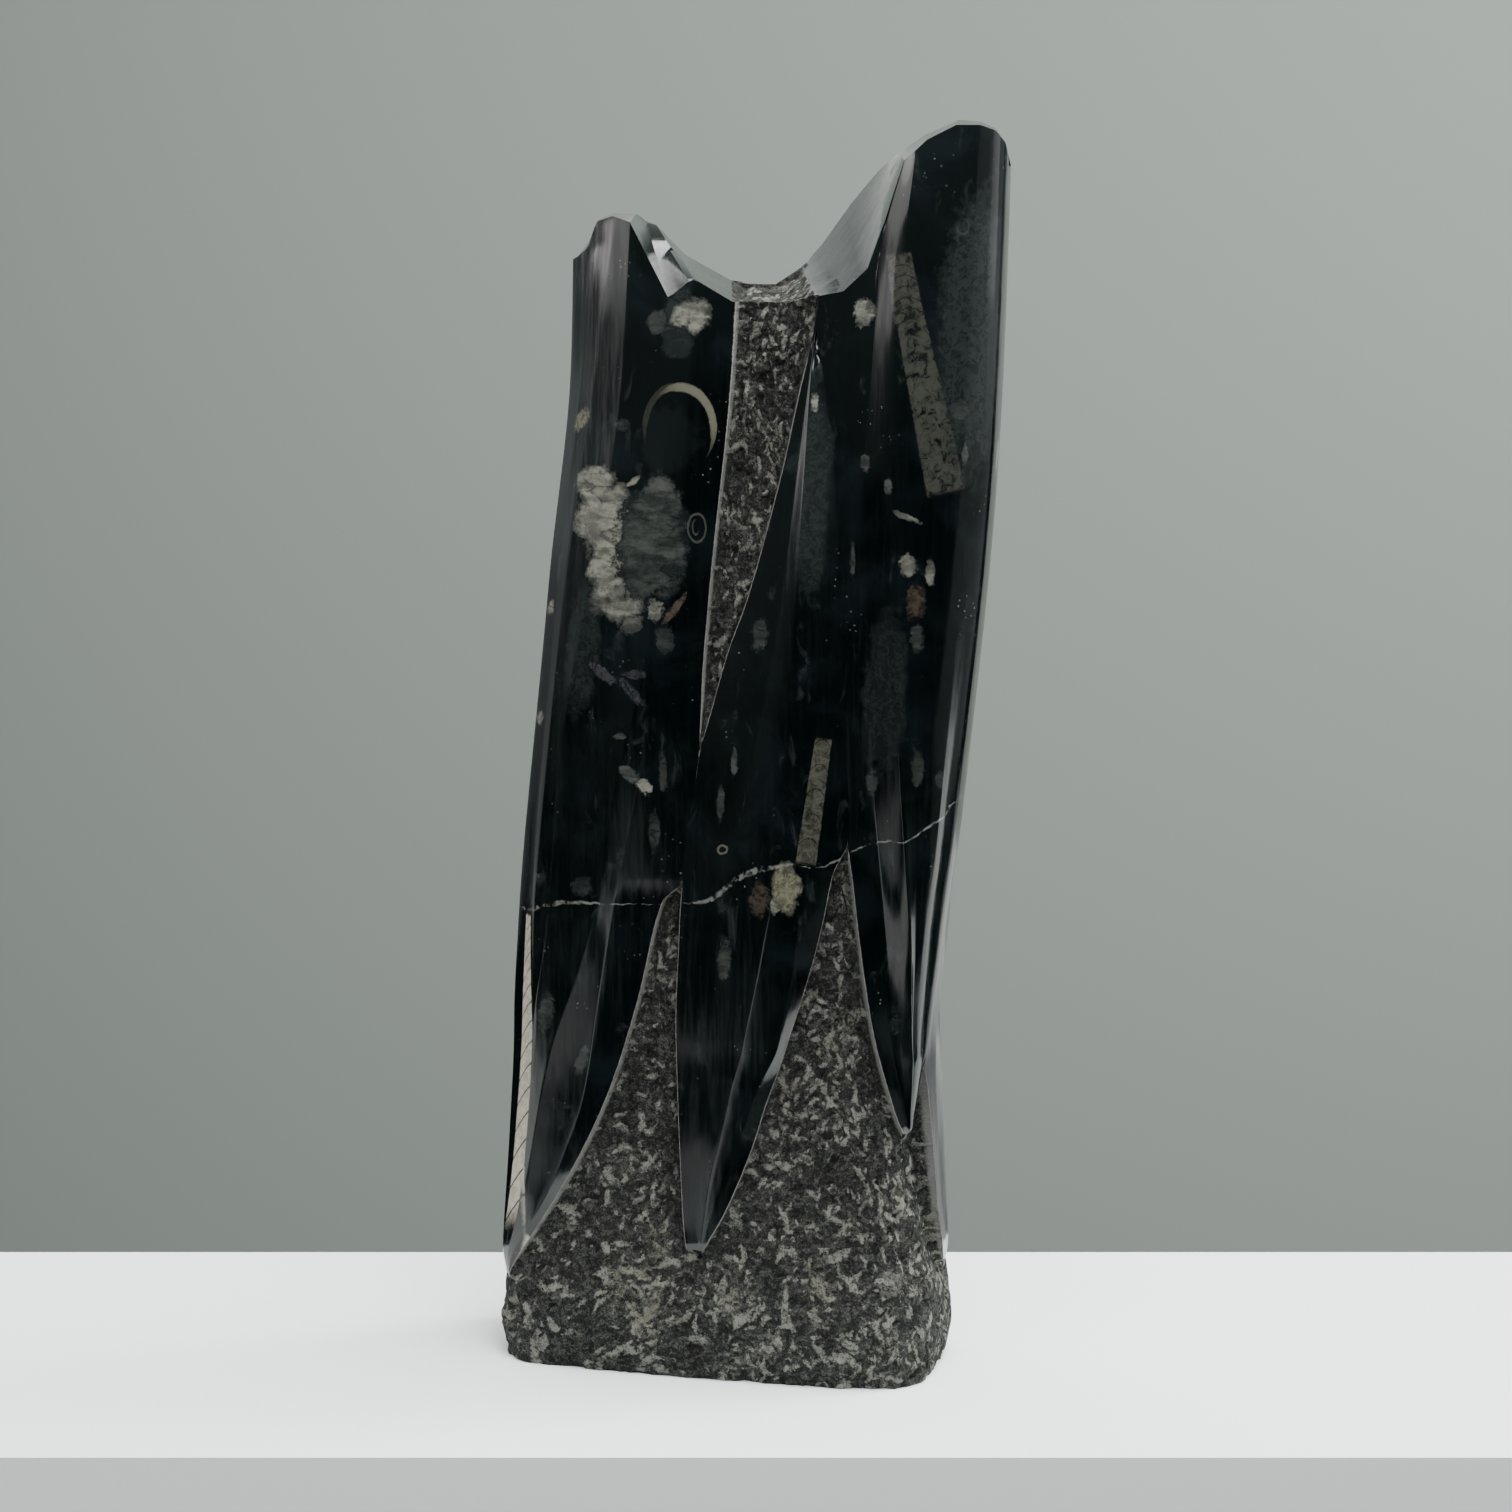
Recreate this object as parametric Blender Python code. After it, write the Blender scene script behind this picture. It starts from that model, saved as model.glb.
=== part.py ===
"""Standing orthoceras stone: one tall block of black fossil limestone.

Five long polished cones, pointed like the straight shells of orthoceras, stand against each
other round the block. Between and below them the stone is cut back to a rough pecked floor.
The top is sawn to two peaks with a polished slope on each side of a rough saddle, and the
foot is cut off flat.

The block is a loft. A rounded section leans and narrows with height, and rails run up it.
Each rail is a line given by its bearing round the block's axis at a few heights, and facets
span from rail to rail. Bearings are in degrees, counted from +X (right) through +Y (back)
to -X (left) and -Y (front). All lengths are in millimetres until the mesh is made.
"""
import bmesh
import bpy
import numpy as np

MM = 0.001
PART_NAME = "orthoceras_stone"
COLLECTION_NAME = "orthoceras_fossil"

# ---------------------------------------------------------------- driving dimensions
# The rounded section: height, centre to the right, half width, half depth.
SECTION = (
    (0, -8.6, 82.0, 39.0),
    (30, -8.2, 81.0, 38.3),
    (80, -8.4, 78.6, 38.0),
    (120, -8.5, 77.0, 37.0),
    (160, -6.1, 77.7, 37.0),
    (200, -2.0, 78.5, 36.0),
    (280, 6.3, 78.6, 34.0),
    (360, 13.2, 76.8, 32.0),
    (445, 15.2, 77.2, 30.0),
)

# The section's exponent by height: 2 is an ellipse, and more is squarer.
SQUARENESS = ((0, 4.6), (40, 4.0), (90, 3.2), (150, 3.0))

# How far below the section's line the cones' sharp edges and the pecked floor lie, by height.
EDGE_DEPTH = ((0, 1.5), (30, 1.5), (45, 2.0), (80, 3.5), (120, 5.0), (200, 6.0), (445, 6.0))
FLOOR_DEPTH = ((0, 1.6), (14, 0.2), (28, 0.8), (45, 3.6), (80, 6.2), (120, 7.6), (200, 8.6), (445, 8.6))
EDGE_FULL_WIDTH = 6.0  # degrees of cone at which its edges stand at their full height
CROWN_FULL_WIDTH = 24.0  # degrees of cone at which its ridges stand at their full height
FOOT_STEP = 0.6  # degrees from a cone's edge to the floor at its foot

# Each cone is a run of rails: its two edges, and its ridges between them. A rail is its
# crown, from 0 at the edges' depth to 1 on the section's line, and its (height, bearing) list.
# Below a cone's point its rails close to one seam.
LEFT_CONE = (
    (0.0, ((29, 215), (45, 190), (64, 160), (107, 125), (150, 110), (180, 106), (385, 108), (445, 110))),
    (0.75, ((29, 215), (64, 172), (107, 145), (180, 126), (300, 128), (445, 130))),
    (1.0, ((29, 215), (64, 184), (107, 166), (180, 152), (300, 150), (445, 152))),
    (1.0, ((29, 215), (64, 203), (107, 198), (180, 192), (300, 189), (445, 188))),
    (0.45, ((29, 215), (60, 221.5), (115, 221), (165, 212), (220, 208), (330, 207), (364, 212.5),
            (401, 220))),
    (0.80, ((29, 215), (60, 221.5), (115, 221.2), (165, 218.5), (240, 218), (334, 220.5), (365, 223.5),
            (410, 229))),
    (1.0, ((29, 215), (60, 221.5), (115, 222), (170, 226.5), (224, 225.5), (260, 227.5), (303, 231),
           (334, 232.5), (410, 234.5))),
    (1.0, ((29, 215), (60, 222), (105, 227.5), (147, 237), (170, 240.5), (212, 242.6), (265, 247),
           (391, 244))),
    (0.8, ((29, 215), (57, 228.5), (81, 234.5), (100, 238.5), (136, 242), (190, 245.6), (244, 249.3),
           (383, 251))),
    (0.0, ((29, 215), (47, 225.4), (84, 238.6), (109, 245.2), (136, 250.7), (172, 255.4), (180, 260.4),
           (223, 261), (262, 259.5), (305, 259.2), (383, 260.4))),
)
MIDDLE_CONE = (
    (0.0, ((45, 269), (47, 265.8), (83, 263.6), (119, 262), (155, 261), (180, 260.4), (223, 261.2),
           (243, 263.5), (262, 266.2), (280, 270), (322, 275.8), (350, 279), (378, 283), (397, 284.2))),
    (0.45, ((45, 269), (74, 269), (110, 269.5), (150, 270), (182, 272), (211, 275.5), (246, 278),
            (295, 280), (340, 281), (378, 283), (397, 284.2))),
    (1.0, ((45, 269), (74, 272.3), (92, 275.8), (107, 278.2), (122, 281.2), (155, 284.5), (194, 286.5),
           (229, 285.6), (281, 283.5), (350, 282.2), (378, 283), (397, 284.2))),
    (0.7, ((45, 269), (62, 273), (75, 276), (93, 281.3), (108, 285.2), (123, 290.2), (155, 293), (194, 291),
           (247, 288.4), (281, 286), (350, 283.3), (378, 283), (397, 284.2))),
    (0.0, ((45, 269), (62, 276.2), (86, 283.7), (101, 287.3), (118, 292), (143, 297), (168, 300.2),
           (184, 301.2), (196, 303.9), (239, 298.7), (281, 294.5), (322, 290.5), (360, 285.3), (378, 283),
           (397, 284.2))),
)
RIGHT_CONE = (
    (0.0, ((86, 332), (94, 326), (104, 322.9), (125, 317.6), (151, 312.3), (179, 307.2), (196, 303.9),
           (239, 298.7), (281, 294.5), (322, 290.5), (360, 285.3), (378, 283), (397, 284.2))),
    (0.15, ((86, 332), (120, 325), (158, 319), (212, 309.5), (254, 304.6), (296, 300), (333, 297.6),
            (397, 298.7), (433, 304.8))),
    (1.0, ((86, 332), (120, 330), (158, 325), (194, 317.8), (233, 312), (275, 307.9), (316, 303.8),
           (368, 302.3), (432, 305.6))),
    (0.9, ((86, 332), (140, 329), (229, 320.5), (275, 317.4), (323, 315.8), (438, 316.7))),
    (1.0, ((86, 332), (140, 334), (229, 330), (350, 327.3), (442, 327.3))),
    (1.0, ((86, 332), (110, 336), (150, 345), (200, 349), (300, 348), (442, 347))),
    (0.9, ((86, 332), (95, 333.5), (105, 337), (114, 340), (122, 346), (130, 352), (150, 361), (180, 369),
           (250, 377), (350, 381), (442, 384))),
)
BACK_RIGHT_CONE = (
    (0.9, ((36, 372), (43, 360), (64, 350), (82, 347.9), (107, 343), (114, 340), (122, 346), (130, 352),
           (150, 361), (180, 369), (250, 377), (350, 381), (442, 384))),
    (0.9, ((36, 372), (64, 360), (107, 362), (180, 384), (300, 393), (442, 396))),
    (1.0, ((36, 372), (64, 371), (107, 380), (180, 400), (300, 410), (442, 412))),
    (0.85, ((36, 372), (64, 378), (107, 393), (180, 412), (300, 424), (442, 430))),
    (0.0, ((36, 372), (64, 387), (107, 405), (150, 418), (200, 429), (240, 435), (300, 441), (442, 451))),
)
BACK_CONE = (
    (0.0, ((58, 446), (64, 441), (110, 437), (150, 431), (192, 427.5), (240, 435), (300, 449), (350, 460),
           (385, 468), (445, 470))),
    (0.8, ((58, 446), (110, 442), (180, 440), (240, 446), (300, 456), (385, 468), (445, 470))),
    (1.0, ((58, 446), (110, 448), (180, 453), (240, 457), (300, 461), (385, 468), (445, 470))),
    (0.0, ((58, 446), (64, 449), (110, 456), (150, 462), (180, 466), (385, 468), (445, 470))),
)
CONES = (LEFT_CONE, MIDDLE_CONE, RIGHT_CONE, BACK_RIGHT_CONE, BACK_CONE)

# The sawn top: creases from the front rim to the back rim, left to right, each as
# (across at the front, height there, across at the back, height there).
TOP_CREASES = (
    (-54.0, 396.0, -72.5, 393.5),
    (-50.0, 401.0, -66.0, 399.0),
    (-47.0, 409.5, -63.5, 407.0),
    (-41.0, 411.5, -57.5, 409.5),
    (-35.0, 409.5, -47.5, 409.5),
    (-21.5, 384.5, -45.5, 409.0),
    (-13.5, 390.5, -43.5, 408.0),
    (-11.0, 390.0, -31.0, 395.5),
    (1.5, 382.5, -13.5, 386.5),
    (11.0, 382.0, -6.5, 386.0),
    (21.5, 382.0, 2.0, 386.0),
    (31.0, 384.5, 11.5, 392.5),
    (41.0, 386.0, 18.5, 400.0),
    (49.5, 393.5, 29.5, 414.5),
    (55.0, 410.0, 40.0, 426.0),
    (60.5, 430.5, 46.0, 431.0),
    (69.0, 438.5, 56.0, 438.0),
    (79.0, 443.5, 68.5, 443.5),
    (87.5, 443.5, 76.0, 443.0),
    (93.0, 441.5, 81.0, 441.0),
    (96.5, 437.0, 84.5, 436.5),
    (98.5, 429.0, 86.5, 428.5),
)
CREASE_DEPTH = 29.0  # the creases' ends lie this far in front of and behind the axis
SADDLE_CREASES = (8, 11)  # the saddle between these creases is pecked, not polished
SPINE_GAP = 0.04  # share of the depth left free on each side of the top's middle line
BEYOND_ENDS = 1000.0  # orders the lines at the top's two ends before and after the middle ones

# How finely the block is meshed.
FACET_STEP = 13.0  # degrees: a wider facet gets columns between its rails
FLOOR_COLUMNS = (9, 10, 5, 10, 12)  # columns of pecked floor after each cone
LEVEL_ROWS = 42  # rows between the foot and RIM_START
RIM_ROWS = 14  # rows between RIM_START and the sawn rim
RIM_START = 330.0
CAP_STEPS = 5  # steps from the rim to the top's middle line
FOOT_CHAMFER = 2.0  # how far in the foot's lowest edge is broken

# Lumps left by the point chisel on the pecked floor.
LUMP_SIZE = 7.0
LUMP_HEIGHT = 3.0
EDGE_LUMPS = 0.3  # share of the lumps' height left at the foot of a cone's edge
LUMP_SEED = 41.0

TABLE_STEP = 0.5  # height step of the tables that the rails are read into
MERGE_DISTANCE = 0.000002  # metres


def ease(heights, stations):
    """Read a smooth line through (height, value) stations, with no overshoot between them."""
    at, value = np.array(stations, dtype=float).T
    slope = np.diff(value) / np.diff(at)
    bend = np.zeros(len(at))
    bend[0], bend[-1] = slope[0], slope[-1]
    before, after = slope[:-1], slope[1:]
    same_way = before * after > 0
    bend[1:-1][same_way] = (2 * before * after)[same_way] / (before + after)[same_way]
    inside = np.clip(heights, at[0], at[-1])
    left = np.clip(np.searchsorted(at, inside, side="right") - 1, 0, len(at) - 2)
    run = at[left + 1] - at[left]
    t = (inside - at[left]) / run
    return (
        (2 * t**3 - 3 * t**2 + 1) * value[left]
        + (t**3 - 2 * t**2 + t) * run * bend[left]
        + (3 * t**2 - 2 * t**3) * value[left + 1]
        + (t**3 - t**2) * run * bend[left + 1]
    )


def smooth(x):
    """Go from 0 to 1 with level ends."""
    x = np.clip(x, 0.0, 1.0)
    return x * x * (3 - 2 * x)


def place(heights, bearing, depth):
    """Place points a given depth inside the leaning section.

    Returns rows of x, y, and how far x and y move for each millimetre further out.
    """
    at, centre, half_width, half_depth = np.array(SECTION).T
    c, s = np.cos(np.radians(bearing)), np.sin(np.radians(bearing))
    power = ease(heights, SQUARENESS)
    reach = (np.abs(c) ** power + np.abs(s) ** power) ** (-1 / power)
    middle, width, thick = (ease(heights, tuple(zip(at, v))) for v in (centre, half_width, half_depth))
    x = middle + (width - depth) * reach * c
    y = (thick - depth) * reach * s
    return np.array([x, y, reach * c, reach * s])


def lumps(x, y, z, size, seed):
    """Soft random hills between 0 and 1: values on a cubic lattice, blended smoothly."""
    total = np.zeros_like(x)
    cell = [np.floor(v / size) for v in (x, y, z)]
    part = [smooth(v / size - low) for v, low in zip((x, y, z), cell)]
    for corner in range(8):
        step = (corner & 1, corner >> 1 & 1, corner >> 2 & 1)
        i, j, k = (low + s for low, s in zip(cell, step))
        wave = np.sin(i * 127.1 + j * 311.7 + k * 74.7 + seed) * 43758.5453
        weight = np.ones_like(x)
        for share, s in zip(part, step):
            weight = weight * (share if s else 1 - share)
        total += weight * (wave - np.floor(wave))
    return total


def trace_cones(heights):
    """Read every cone's rails at the given heights, as (bearings, depths) for each cone.

    No rail may cross the one before it, so rails that meet run on as one line. A cone's
    edges and ridges sink back to the floor where the cone comes to its point.
    """
    floor = ease(heights, FLOOR_DEPTH)
    edge_height = floor - ease(heights, EDGE_DEPTH)
    traced = []
    lowest = np.full(len(heights), -360.0)
    for cone in CONES:
        bearings = []
        for _, stations in cone:
            lowest = np.maximum(lowest, ease(heights, stations))
            bearings.append(lowest)
        width = bearings[-1] - bearings[0]
        edge = floor - edge_height * smooth(width / EDGE_FULL_WIDTH)
        rise = smooth(width / CROWN_FULL_WIDTH)
        depths = [edge * (1 - crown * rise) for crown, _ in cone]
        traced.append((np.array(bearings), np.array(depths)))
    return traced


def lay_columns(heights):
    """Lay out the loft's columns round the block: each cone's facets, then the floor after it.

    Returns a (column, quantity, height) table. The quantities are x, y, the outward way in x
    and y, and the share of the floor's lumps, which a cone has only below its point.
    """
    floor = ease(heights, FLOOR_DEPTH)
    traced = trace_cones(heights)
    worn = [1 - smooth((bearings[-1] - bearings[0]) / EDGE_FULL_WIDTH) for bearings, _ in traced]
    columns = []
    for number, (bearings, depths) in enumerate(traced):
        rails = [place(heights, bearing, depth) for bearing, depth in zip(bearings, depths)]
        for near, far, width in zip(rails[:-1], rails[1:], np.diff(bearings, axis=0).max(axis=1)):
            count = max(1, int(np.ceil(width / FACET_STEP)))
            columns += [np.vstack([near + (far - near) * n / count, worn[number]]) for n in range(count)]
        columns.append(np.vstack([rails[-1], worn[number]]))

        # The floor runs from this cone's last edge to the next cone's first one.
        after = (number + 1) % len(traced)
        next_bearings, next_depths = traced[after]
        turn = 360.0 if number + 1 == len(traced) else 0.0
        gap = np.maximum(next_bearings[0] + turn - bearings[-1], 0.0)
        opened = smooth(gap / EDGE_FULL_WIDTH)
        step = np.minimum(FOOT_STEP, gap * 0.15)
        for share in np.linspace(0, 1, FLOOR_COLUMNS[number]):
            edge = np.where(gap > 0, depths[-1] * (1 - share) + next_depths[0] * share, depths[-1])
            bearing = bearings[-1] + step + (gap - 2 * step) * share
            if 0 < share < 1:
                lump_share = opened
            else:
                lump_share = opened * np.maximum(EDGE_LUMPS, worn[number] if share == 0 else worn[after])
            columns.append(np.vstack([place(heights, bearing, edge + (floor - edge) * opened), lump_share]))
    return np.array(columns)


def read_columns(table, heights, levels):
    """Read the columns' table at each column's own levels, given as (row, column)."""
    read = [[np.interp(levels[:, n], heights, line) for line in lines] for n, lines in enumerate(table)]
    return np.array(read).transpose(1, 2, 0)


def crease_lines(share):
    """Give the creases' places across and heights at a share of the way from front to back."""
    front_x, front_z, back_x, back_z = np.array(TOP_CREASES).T
    share = np.asarray(share)[..., None]
    return front_x + (back_x - front_x) * share, front_z + (back_z - front_z) * share


def depth_share(y):
    """Turn a place in depth into a share of the way from the creases' front to back ends."""
    return (y + CREASE_DEPTH) / (2 * CREASE_DEPTH)


def crease_number(x, share):
    """Say between which creases a point lies, as a fractional crease number."""
    lines, _ = crease_lines(share)
    return np.array([np.interp(a, line, np.arange(len(line))) for a, line in zip(x, lines)])


def on_top(number, share):
    """Place points of the sawn top by crease number and share of the depth."""
    across, height = crease_lines(share)
    low = np.clip(np.floor(number).astype(int), 0, len(TOP_CREASES) - 2)
    part = number - low
    pick = np.arange(len(low))
    x = across[pick, low] * (1 - part) + across[pick, low + 1] * part
    z = height[pick, low] * (1 - part) + height[pick, low + 1] * part
    y = (2 * np.asarray(share) - 1) * CREASE_DEPTH
    return x, y, z


def rim_heights(table, heights):
    """Find where each column meets the sawn top, by stepping up and down to it."""
    rim = np.full(len(table), 400.0)
    for _ in range(40):
        x, y = read_columns(table, heights, rim[None, :])[:2, 0]
        share = depth_share(y)
        rim = 0.5 * (rim + on_top(crease_number(x, share), share)[2])
    return rim


def zip_lines(first, second):
    """Join two rows of points, both in order along +X, with one band of triangles.

    first and second are (indices, rising places). Each step of either row makes a triangle
    with the last point passed on the other row.
    """
    (ids_a, x_a), (ids_b, x_b) = first, second
    steps = [(x, 0, n) for n, x in enumerate(x_a) if n] + [(x, 1, n) for n, x in enumerate(x_b) if n]
    at = [0, 0]
    triangles = []
    for _, row, n in sorted(steps):
        tip = ids_b[at[1]] if row == 0 else ids_a[at[0]]
        rows = (ids_a, ids_b)[row]
        edge = (rows[at[row]], rows[n])
        triangles.append((edge[0], edge[1], tip) if row == 0 else (edge[1], edge[0], tip))
        at[row] = n
    return triangles


def build_stone():
    """Make the block's closed mesh: walls, sawn top and flat foot."""
    heights = np.arange(0.0, SECTION[-1][0] + TABLE_STEP, TABLE_STEP)
    table = lay_columns(heights)
    rim = rim_heights(table, heights)
    columns = len(rim)

    # Walls: level rows up to RIM_START, then rows that spread out to meet the rim.
    level = np.linspace(0, RIM_START, LEVEL_ROWS + 1)
    upper = np.linspace(0, 1, RIM_ROWS + 1)[1:]
    z = np.vstack([
        np.repeat(level[:, None], columns, axis=1),
        RIM_START + upper[:, None] * (rim - RIM_START)[None, :],
    ])
    x, y, out_x, out_y, lump_share = read_columns(table, heights, z)
    inward = lumps(x, y, z, LUMP_SIZE, LUMP_SEED) * LUMP_HEIGHT * lump_share
    inward[0] = FOOT_CHAMFER
    wall = np.stack([x - out_x * inward, y - out_y * inward, z], axis=2)
    points = [wall.reshape(-1, 3)]
    ids = np.arange(wall.shape[0] * columns).reshape(-1, columns)

    def quads(grid):
        """List the quads of a grid of point numbers."""
        corners = (grid[:-1, :-1], grid[:-1, 1:], grid[1:, 1:], grid[1:, :-1])
        return np.stack([c.ravel() for c in corners], axis=1).tolist()

    faces = quads(np.hstack([ids, ids[:, :1]]))
    faces.append(ids[0][::-1].tolist())

    # Top: lines along the creases, from the rim to each side of the middle line.
    rim_x, rim_y, _ = wall[-1].T
    share = depth_share(rim_y)
    number = crease_number(rim_x, share)
    in_saddle = (number > SADDLE_CREASES[0]) & (number < SADDLE_CREASES[1])
    front = np.flatnonzero(rim_y < 0)
    back = (front[0] - 1 - np.arange(columns - len(front))) % columns
    spines = []
    for order, end in (
        (front, np.maximum(share, 0.5 - SPINE_GAP)),
        (back, np.minimum(share, 0.5 + SPINE_GAP)),
    ):
        rows = [ids[-1][order]]
        for step in range(1, CAP_STEPS + 1):
            reach = share[order] + (end[order] - share[order]) * step / CAP_STEPS
            top = np.stack(on_top(number[order], reach), axis=1)
            top[:, 2] -= lumps(*top.T, LUMP_SIZE, LUMP_SEED) * LUMP_HEIGHT * in_saddle[order]
            rows.append(np.arange(len(order)) + sum(len(p) for p in points))
            points.append(top)
        rows = np.array(rows)
        faces += quads(rows)
        ends = np.arange(1, CAP_STEPS + 1) * BEYOND_ENDS
        chain = np.concatenate([rows[:-1, 0], rows[-1], rows[-2::-1, -1]])
        spines.append((chain, np.concatenate([-ends[::-1], np.maximum.accumulate(top[:, 0]), ends])))
    faces += zip_lines(*spines)
    every = np.vstack(points)
    return every * MM, faces


def add_object(name, points, faces, collection, material):
    """Put a mesh in the collection, with doubled points merged and faces pointing out."""
    mesh = bpy.data.meshes.new(name)
    mesh.from_pydata(points.tolist(), [], faces)
    work = bmesh.new()
    work.from_mesh(mesh)
    bmesh.ops.remove_doubles(work, verts=work.verts, dist=MERGE_DISTANCE)
    bmesh.ops.recalc_face_normals(work, faces=work.faces)
    bmesh.ops.triangulate(work, faces=work.faces)
    work.to_mesh(mesh)
    work.free()
    mesh.materials.append(material)
    stone = bpy.data.objects.new(name, mesh)
    collection.objects.link(stone)
    return stone


def make_limestone():
    """Polished black fossil limestone."""
    material = bpy.data.materials.new("polished_black_limestone")
    material.use_nodes = True
    shader = material.node_tree.nodes["Principled BSDF"]
    shader.inputs["Base Color"].default_value = (0.014, 0.015, 0.016, 1.0)
    shader.inputs["Roughness"].default_value = 0.22
    shader.inputs["Metallic"].default_value = 0.0
    return material


def main():
    """Clear the file's objects and build the stone."""
    for thing in list(bpy.data.objects):
        bpy.data.objects.remove(thing, do_unlink=True)
    collection = bpy.data.collections.new(COLLECTION_NAME)
    bpy.context.scene.collection.children.link(collection)
    points, faces = build_stone()
    add_object(PART_NAME, points, faces, collection, make_limestone())


main()
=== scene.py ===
"""Dress the standing orthoceras stone for a studio picture.

The stone is one block of black fossil limestone. Five long polished cones, pointed like the
straight shells of orthoceras, stand round it against each other. Between and below them the
stone is pecked back with a point chisel, and the top is sawn to two peaks and a rough saddle.

StoneBlock works the block out as one closed surface: a rounded section that leans and narrows
with height, and columns that run up it from rail to rail. ChiselMarks gives the pecked relief,
the two finishes dress it, and Studio sets the table, the lights and the camera.
Lengths inside the classes are in millimetres. Meshes, lights and the camera are in metres.
"""
import logging
import math
from dataclasses import dataclass, field
from enum import Enum
from typing import Sequence

import bmesh
import bpy
import numpy as np
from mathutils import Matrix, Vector


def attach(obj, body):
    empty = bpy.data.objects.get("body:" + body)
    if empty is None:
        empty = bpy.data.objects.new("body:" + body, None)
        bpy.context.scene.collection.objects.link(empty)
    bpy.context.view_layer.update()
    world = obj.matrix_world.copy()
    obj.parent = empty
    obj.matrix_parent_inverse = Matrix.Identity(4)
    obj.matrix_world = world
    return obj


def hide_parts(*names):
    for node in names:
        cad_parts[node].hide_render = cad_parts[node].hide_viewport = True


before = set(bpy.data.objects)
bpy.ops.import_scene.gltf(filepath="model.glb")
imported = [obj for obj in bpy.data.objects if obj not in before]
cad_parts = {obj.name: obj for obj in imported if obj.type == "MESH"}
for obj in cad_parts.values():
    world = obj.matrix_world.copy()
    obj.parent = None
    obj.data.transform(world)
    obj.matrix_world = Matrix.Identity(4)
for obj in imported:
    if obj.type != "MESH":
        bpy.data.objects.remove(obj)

LOG = logging.getLogger("orthoceras_stone")
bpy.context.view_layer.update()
MM = 0.001

Pair = tuple[float, float]
Triple = tuple[float, float, float]
Colour = tuple[float, float, float]
Rail = tuple[float, tuple[Pair, ...]]
Row = tuple[float, ...]
Socket = bpy.types.NodeSocket


def ease(heights: np.ndarray, stations: Sequence[Pair]) -> np.ndarray:
    """Read a smooth line through stations: a cubic on each stretch, with no overshoot.

    Args:
        heights: where to read the line, in millimetres.
        stations: (height, value) pairs in rising order of height.

    Returns:
        The line's value at each height. Outside the stations it keeps the end value.
    """
    at, value = np.array(stations, dtype=float).T
    slope = np.diff(value) / np.diff(at)
    bend = np.zeros(len(at))
    bend[0], bend[-1] = slope[0], slope[-1]
    before, after = slope[:-1], slope[1:]
    same_way = before * after > 0
    bend[1:-1][same_way] = (2 * before * after)[same_way] / (before + after)[same_way]
    inside = np.clip(heights, at[0], at[-1])
    left = np.clip(np.searchsorted(at, inside, side="right") - 1, 0, len(at) - 2)
    run = at[left + 1] - at[left]
    t = (inside - at[left]) / run
    return (
        (2 * t**3 - 3 * t**2 + 1) * value[left]
        + (t**3 - 2 * t**2 + t) * run * bend[left]
        + (3 * t**2 - 2 * t**3) * value[left + 1]
        + (t**3 - t**2) * run * bend[left + 1]
    )


def smooth(x: np.ndarray) -> np.ndarray:
    """Go from 0 to 1 with level ends: three x squared less two x cubed."""
    x = np.clip(x, 0.0, 1.0)
    return x * x * (3 - 2 * x)


def chance(*numbers: np.ndarray, seed: float = 0.0) -> np.ndarray:
    """Give a repeatable random number from 0 to 1 for each set of whole numbers."""
    wave = sum(n * k for n, k in zip(numbers, (127.1, 311.7, 74.7))) + seed
    wave = np.sin(wave) * 43758.5453
    return wave - np.floor(wave)


def lumps(x: np.ndarray, y: np.ndarray, z: np.ndarray, size: float, seed: float) -> np.ndarray:
    """Soft random hills between 0 and 1: values on a cubic lattice, blended smoothly.

    Args:
        x, y, z: the points.
        size: the lattice's step.
        seed: picks another set of hills.

    Returns:
        The height of the hills at each point.
    """
    total = np.zeros_like(x)
    cell = [np.floor(v / size) for v in (x, y, z)]
    part = [smooth(v / size - low) for v, low in zip((x, y, z), cell)]
    for corner in range(8):
        step = (corner & 1, corner >> 1 & 1, corner >> 2 & 1)
        weight = np.ones_like(x)
        for share, s in zip(part, step):
            weight = weight * (share if s else 1 - share)
        total += weight * chance(*(low + s for low, s in zip(cell, step)), seed=seed)
    return total


class Surface(Enum):
    """The two ways in which the stone is finished, by material number."""

    POLISHED = 0
    PECKED = 1


def into_scene(made: bpy.types.Object) -> bpy.types.Object:
    """Link an object to the scene."""
    bpy.context.scene.collection.objects.link(made)
    return made


@dataclass
class Section:
    """The block's rounded section at each height: a superellipse round a leaning axis."""

    stations: tuple[tuple[float, float, float, float], ...] = (
        (0, -8.6, 82.0, 39.0),
        (30, -8.2, 81.0, 38.3),
        (80, -8.4, 78.6, 38.0),
        (120, -8.5, 77.0, 37.0),
        (160, -6.1, 77.7, 37.0),
        (200, -2.0, 78.5, 36.0),
        (280, 6.3, 78.6, 34.0),
        (360, 13.2, 76.8, 32.0),
        (445, 15.2, 77.2, 30.0),
    )
    squareness: tuple[Pair, ...] = ((0, 4.6), (40, 4.0), (90, 3.2), (150, 3.0))

    def place(self, heights: np.ndarray, bearing: np.ndarray, depth: np.ndarray) -> np.ndarray:
        """Place points inside the section: x is the centre plus (half width less depth) times
        the reach times the bearing's cosine, and y the same with the half depth and the sine.

        Args:
            heights: height of each point.
            bearing: degrees from +X through +Y.
            depth: how far below the section's line each point lies.

        Returns:
            Rows of x, y, and how far x and y move for each millimetre further out.
        """
        at, centre, half_width, half_depth = np.array(self.stations).T
        c, s = np.cos(np.radians(bearing)), np.sin(np.radians(bearing))
        power = ease(heights, self.squareness)
        reach = (np.abs(c) ** power + np.abs(s) ** power) ** (-1 / power)
        middle, width, thick = (
            ease(heights, tuple(zip(at, v))) for v in (centre, half_width, half_depth))
        out_x, out_y = reach * c, reach * s
        return np.array([middle + (width - depth) * reach * c, (thick - depth) * reach * s, out_x, out_y])


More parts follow.
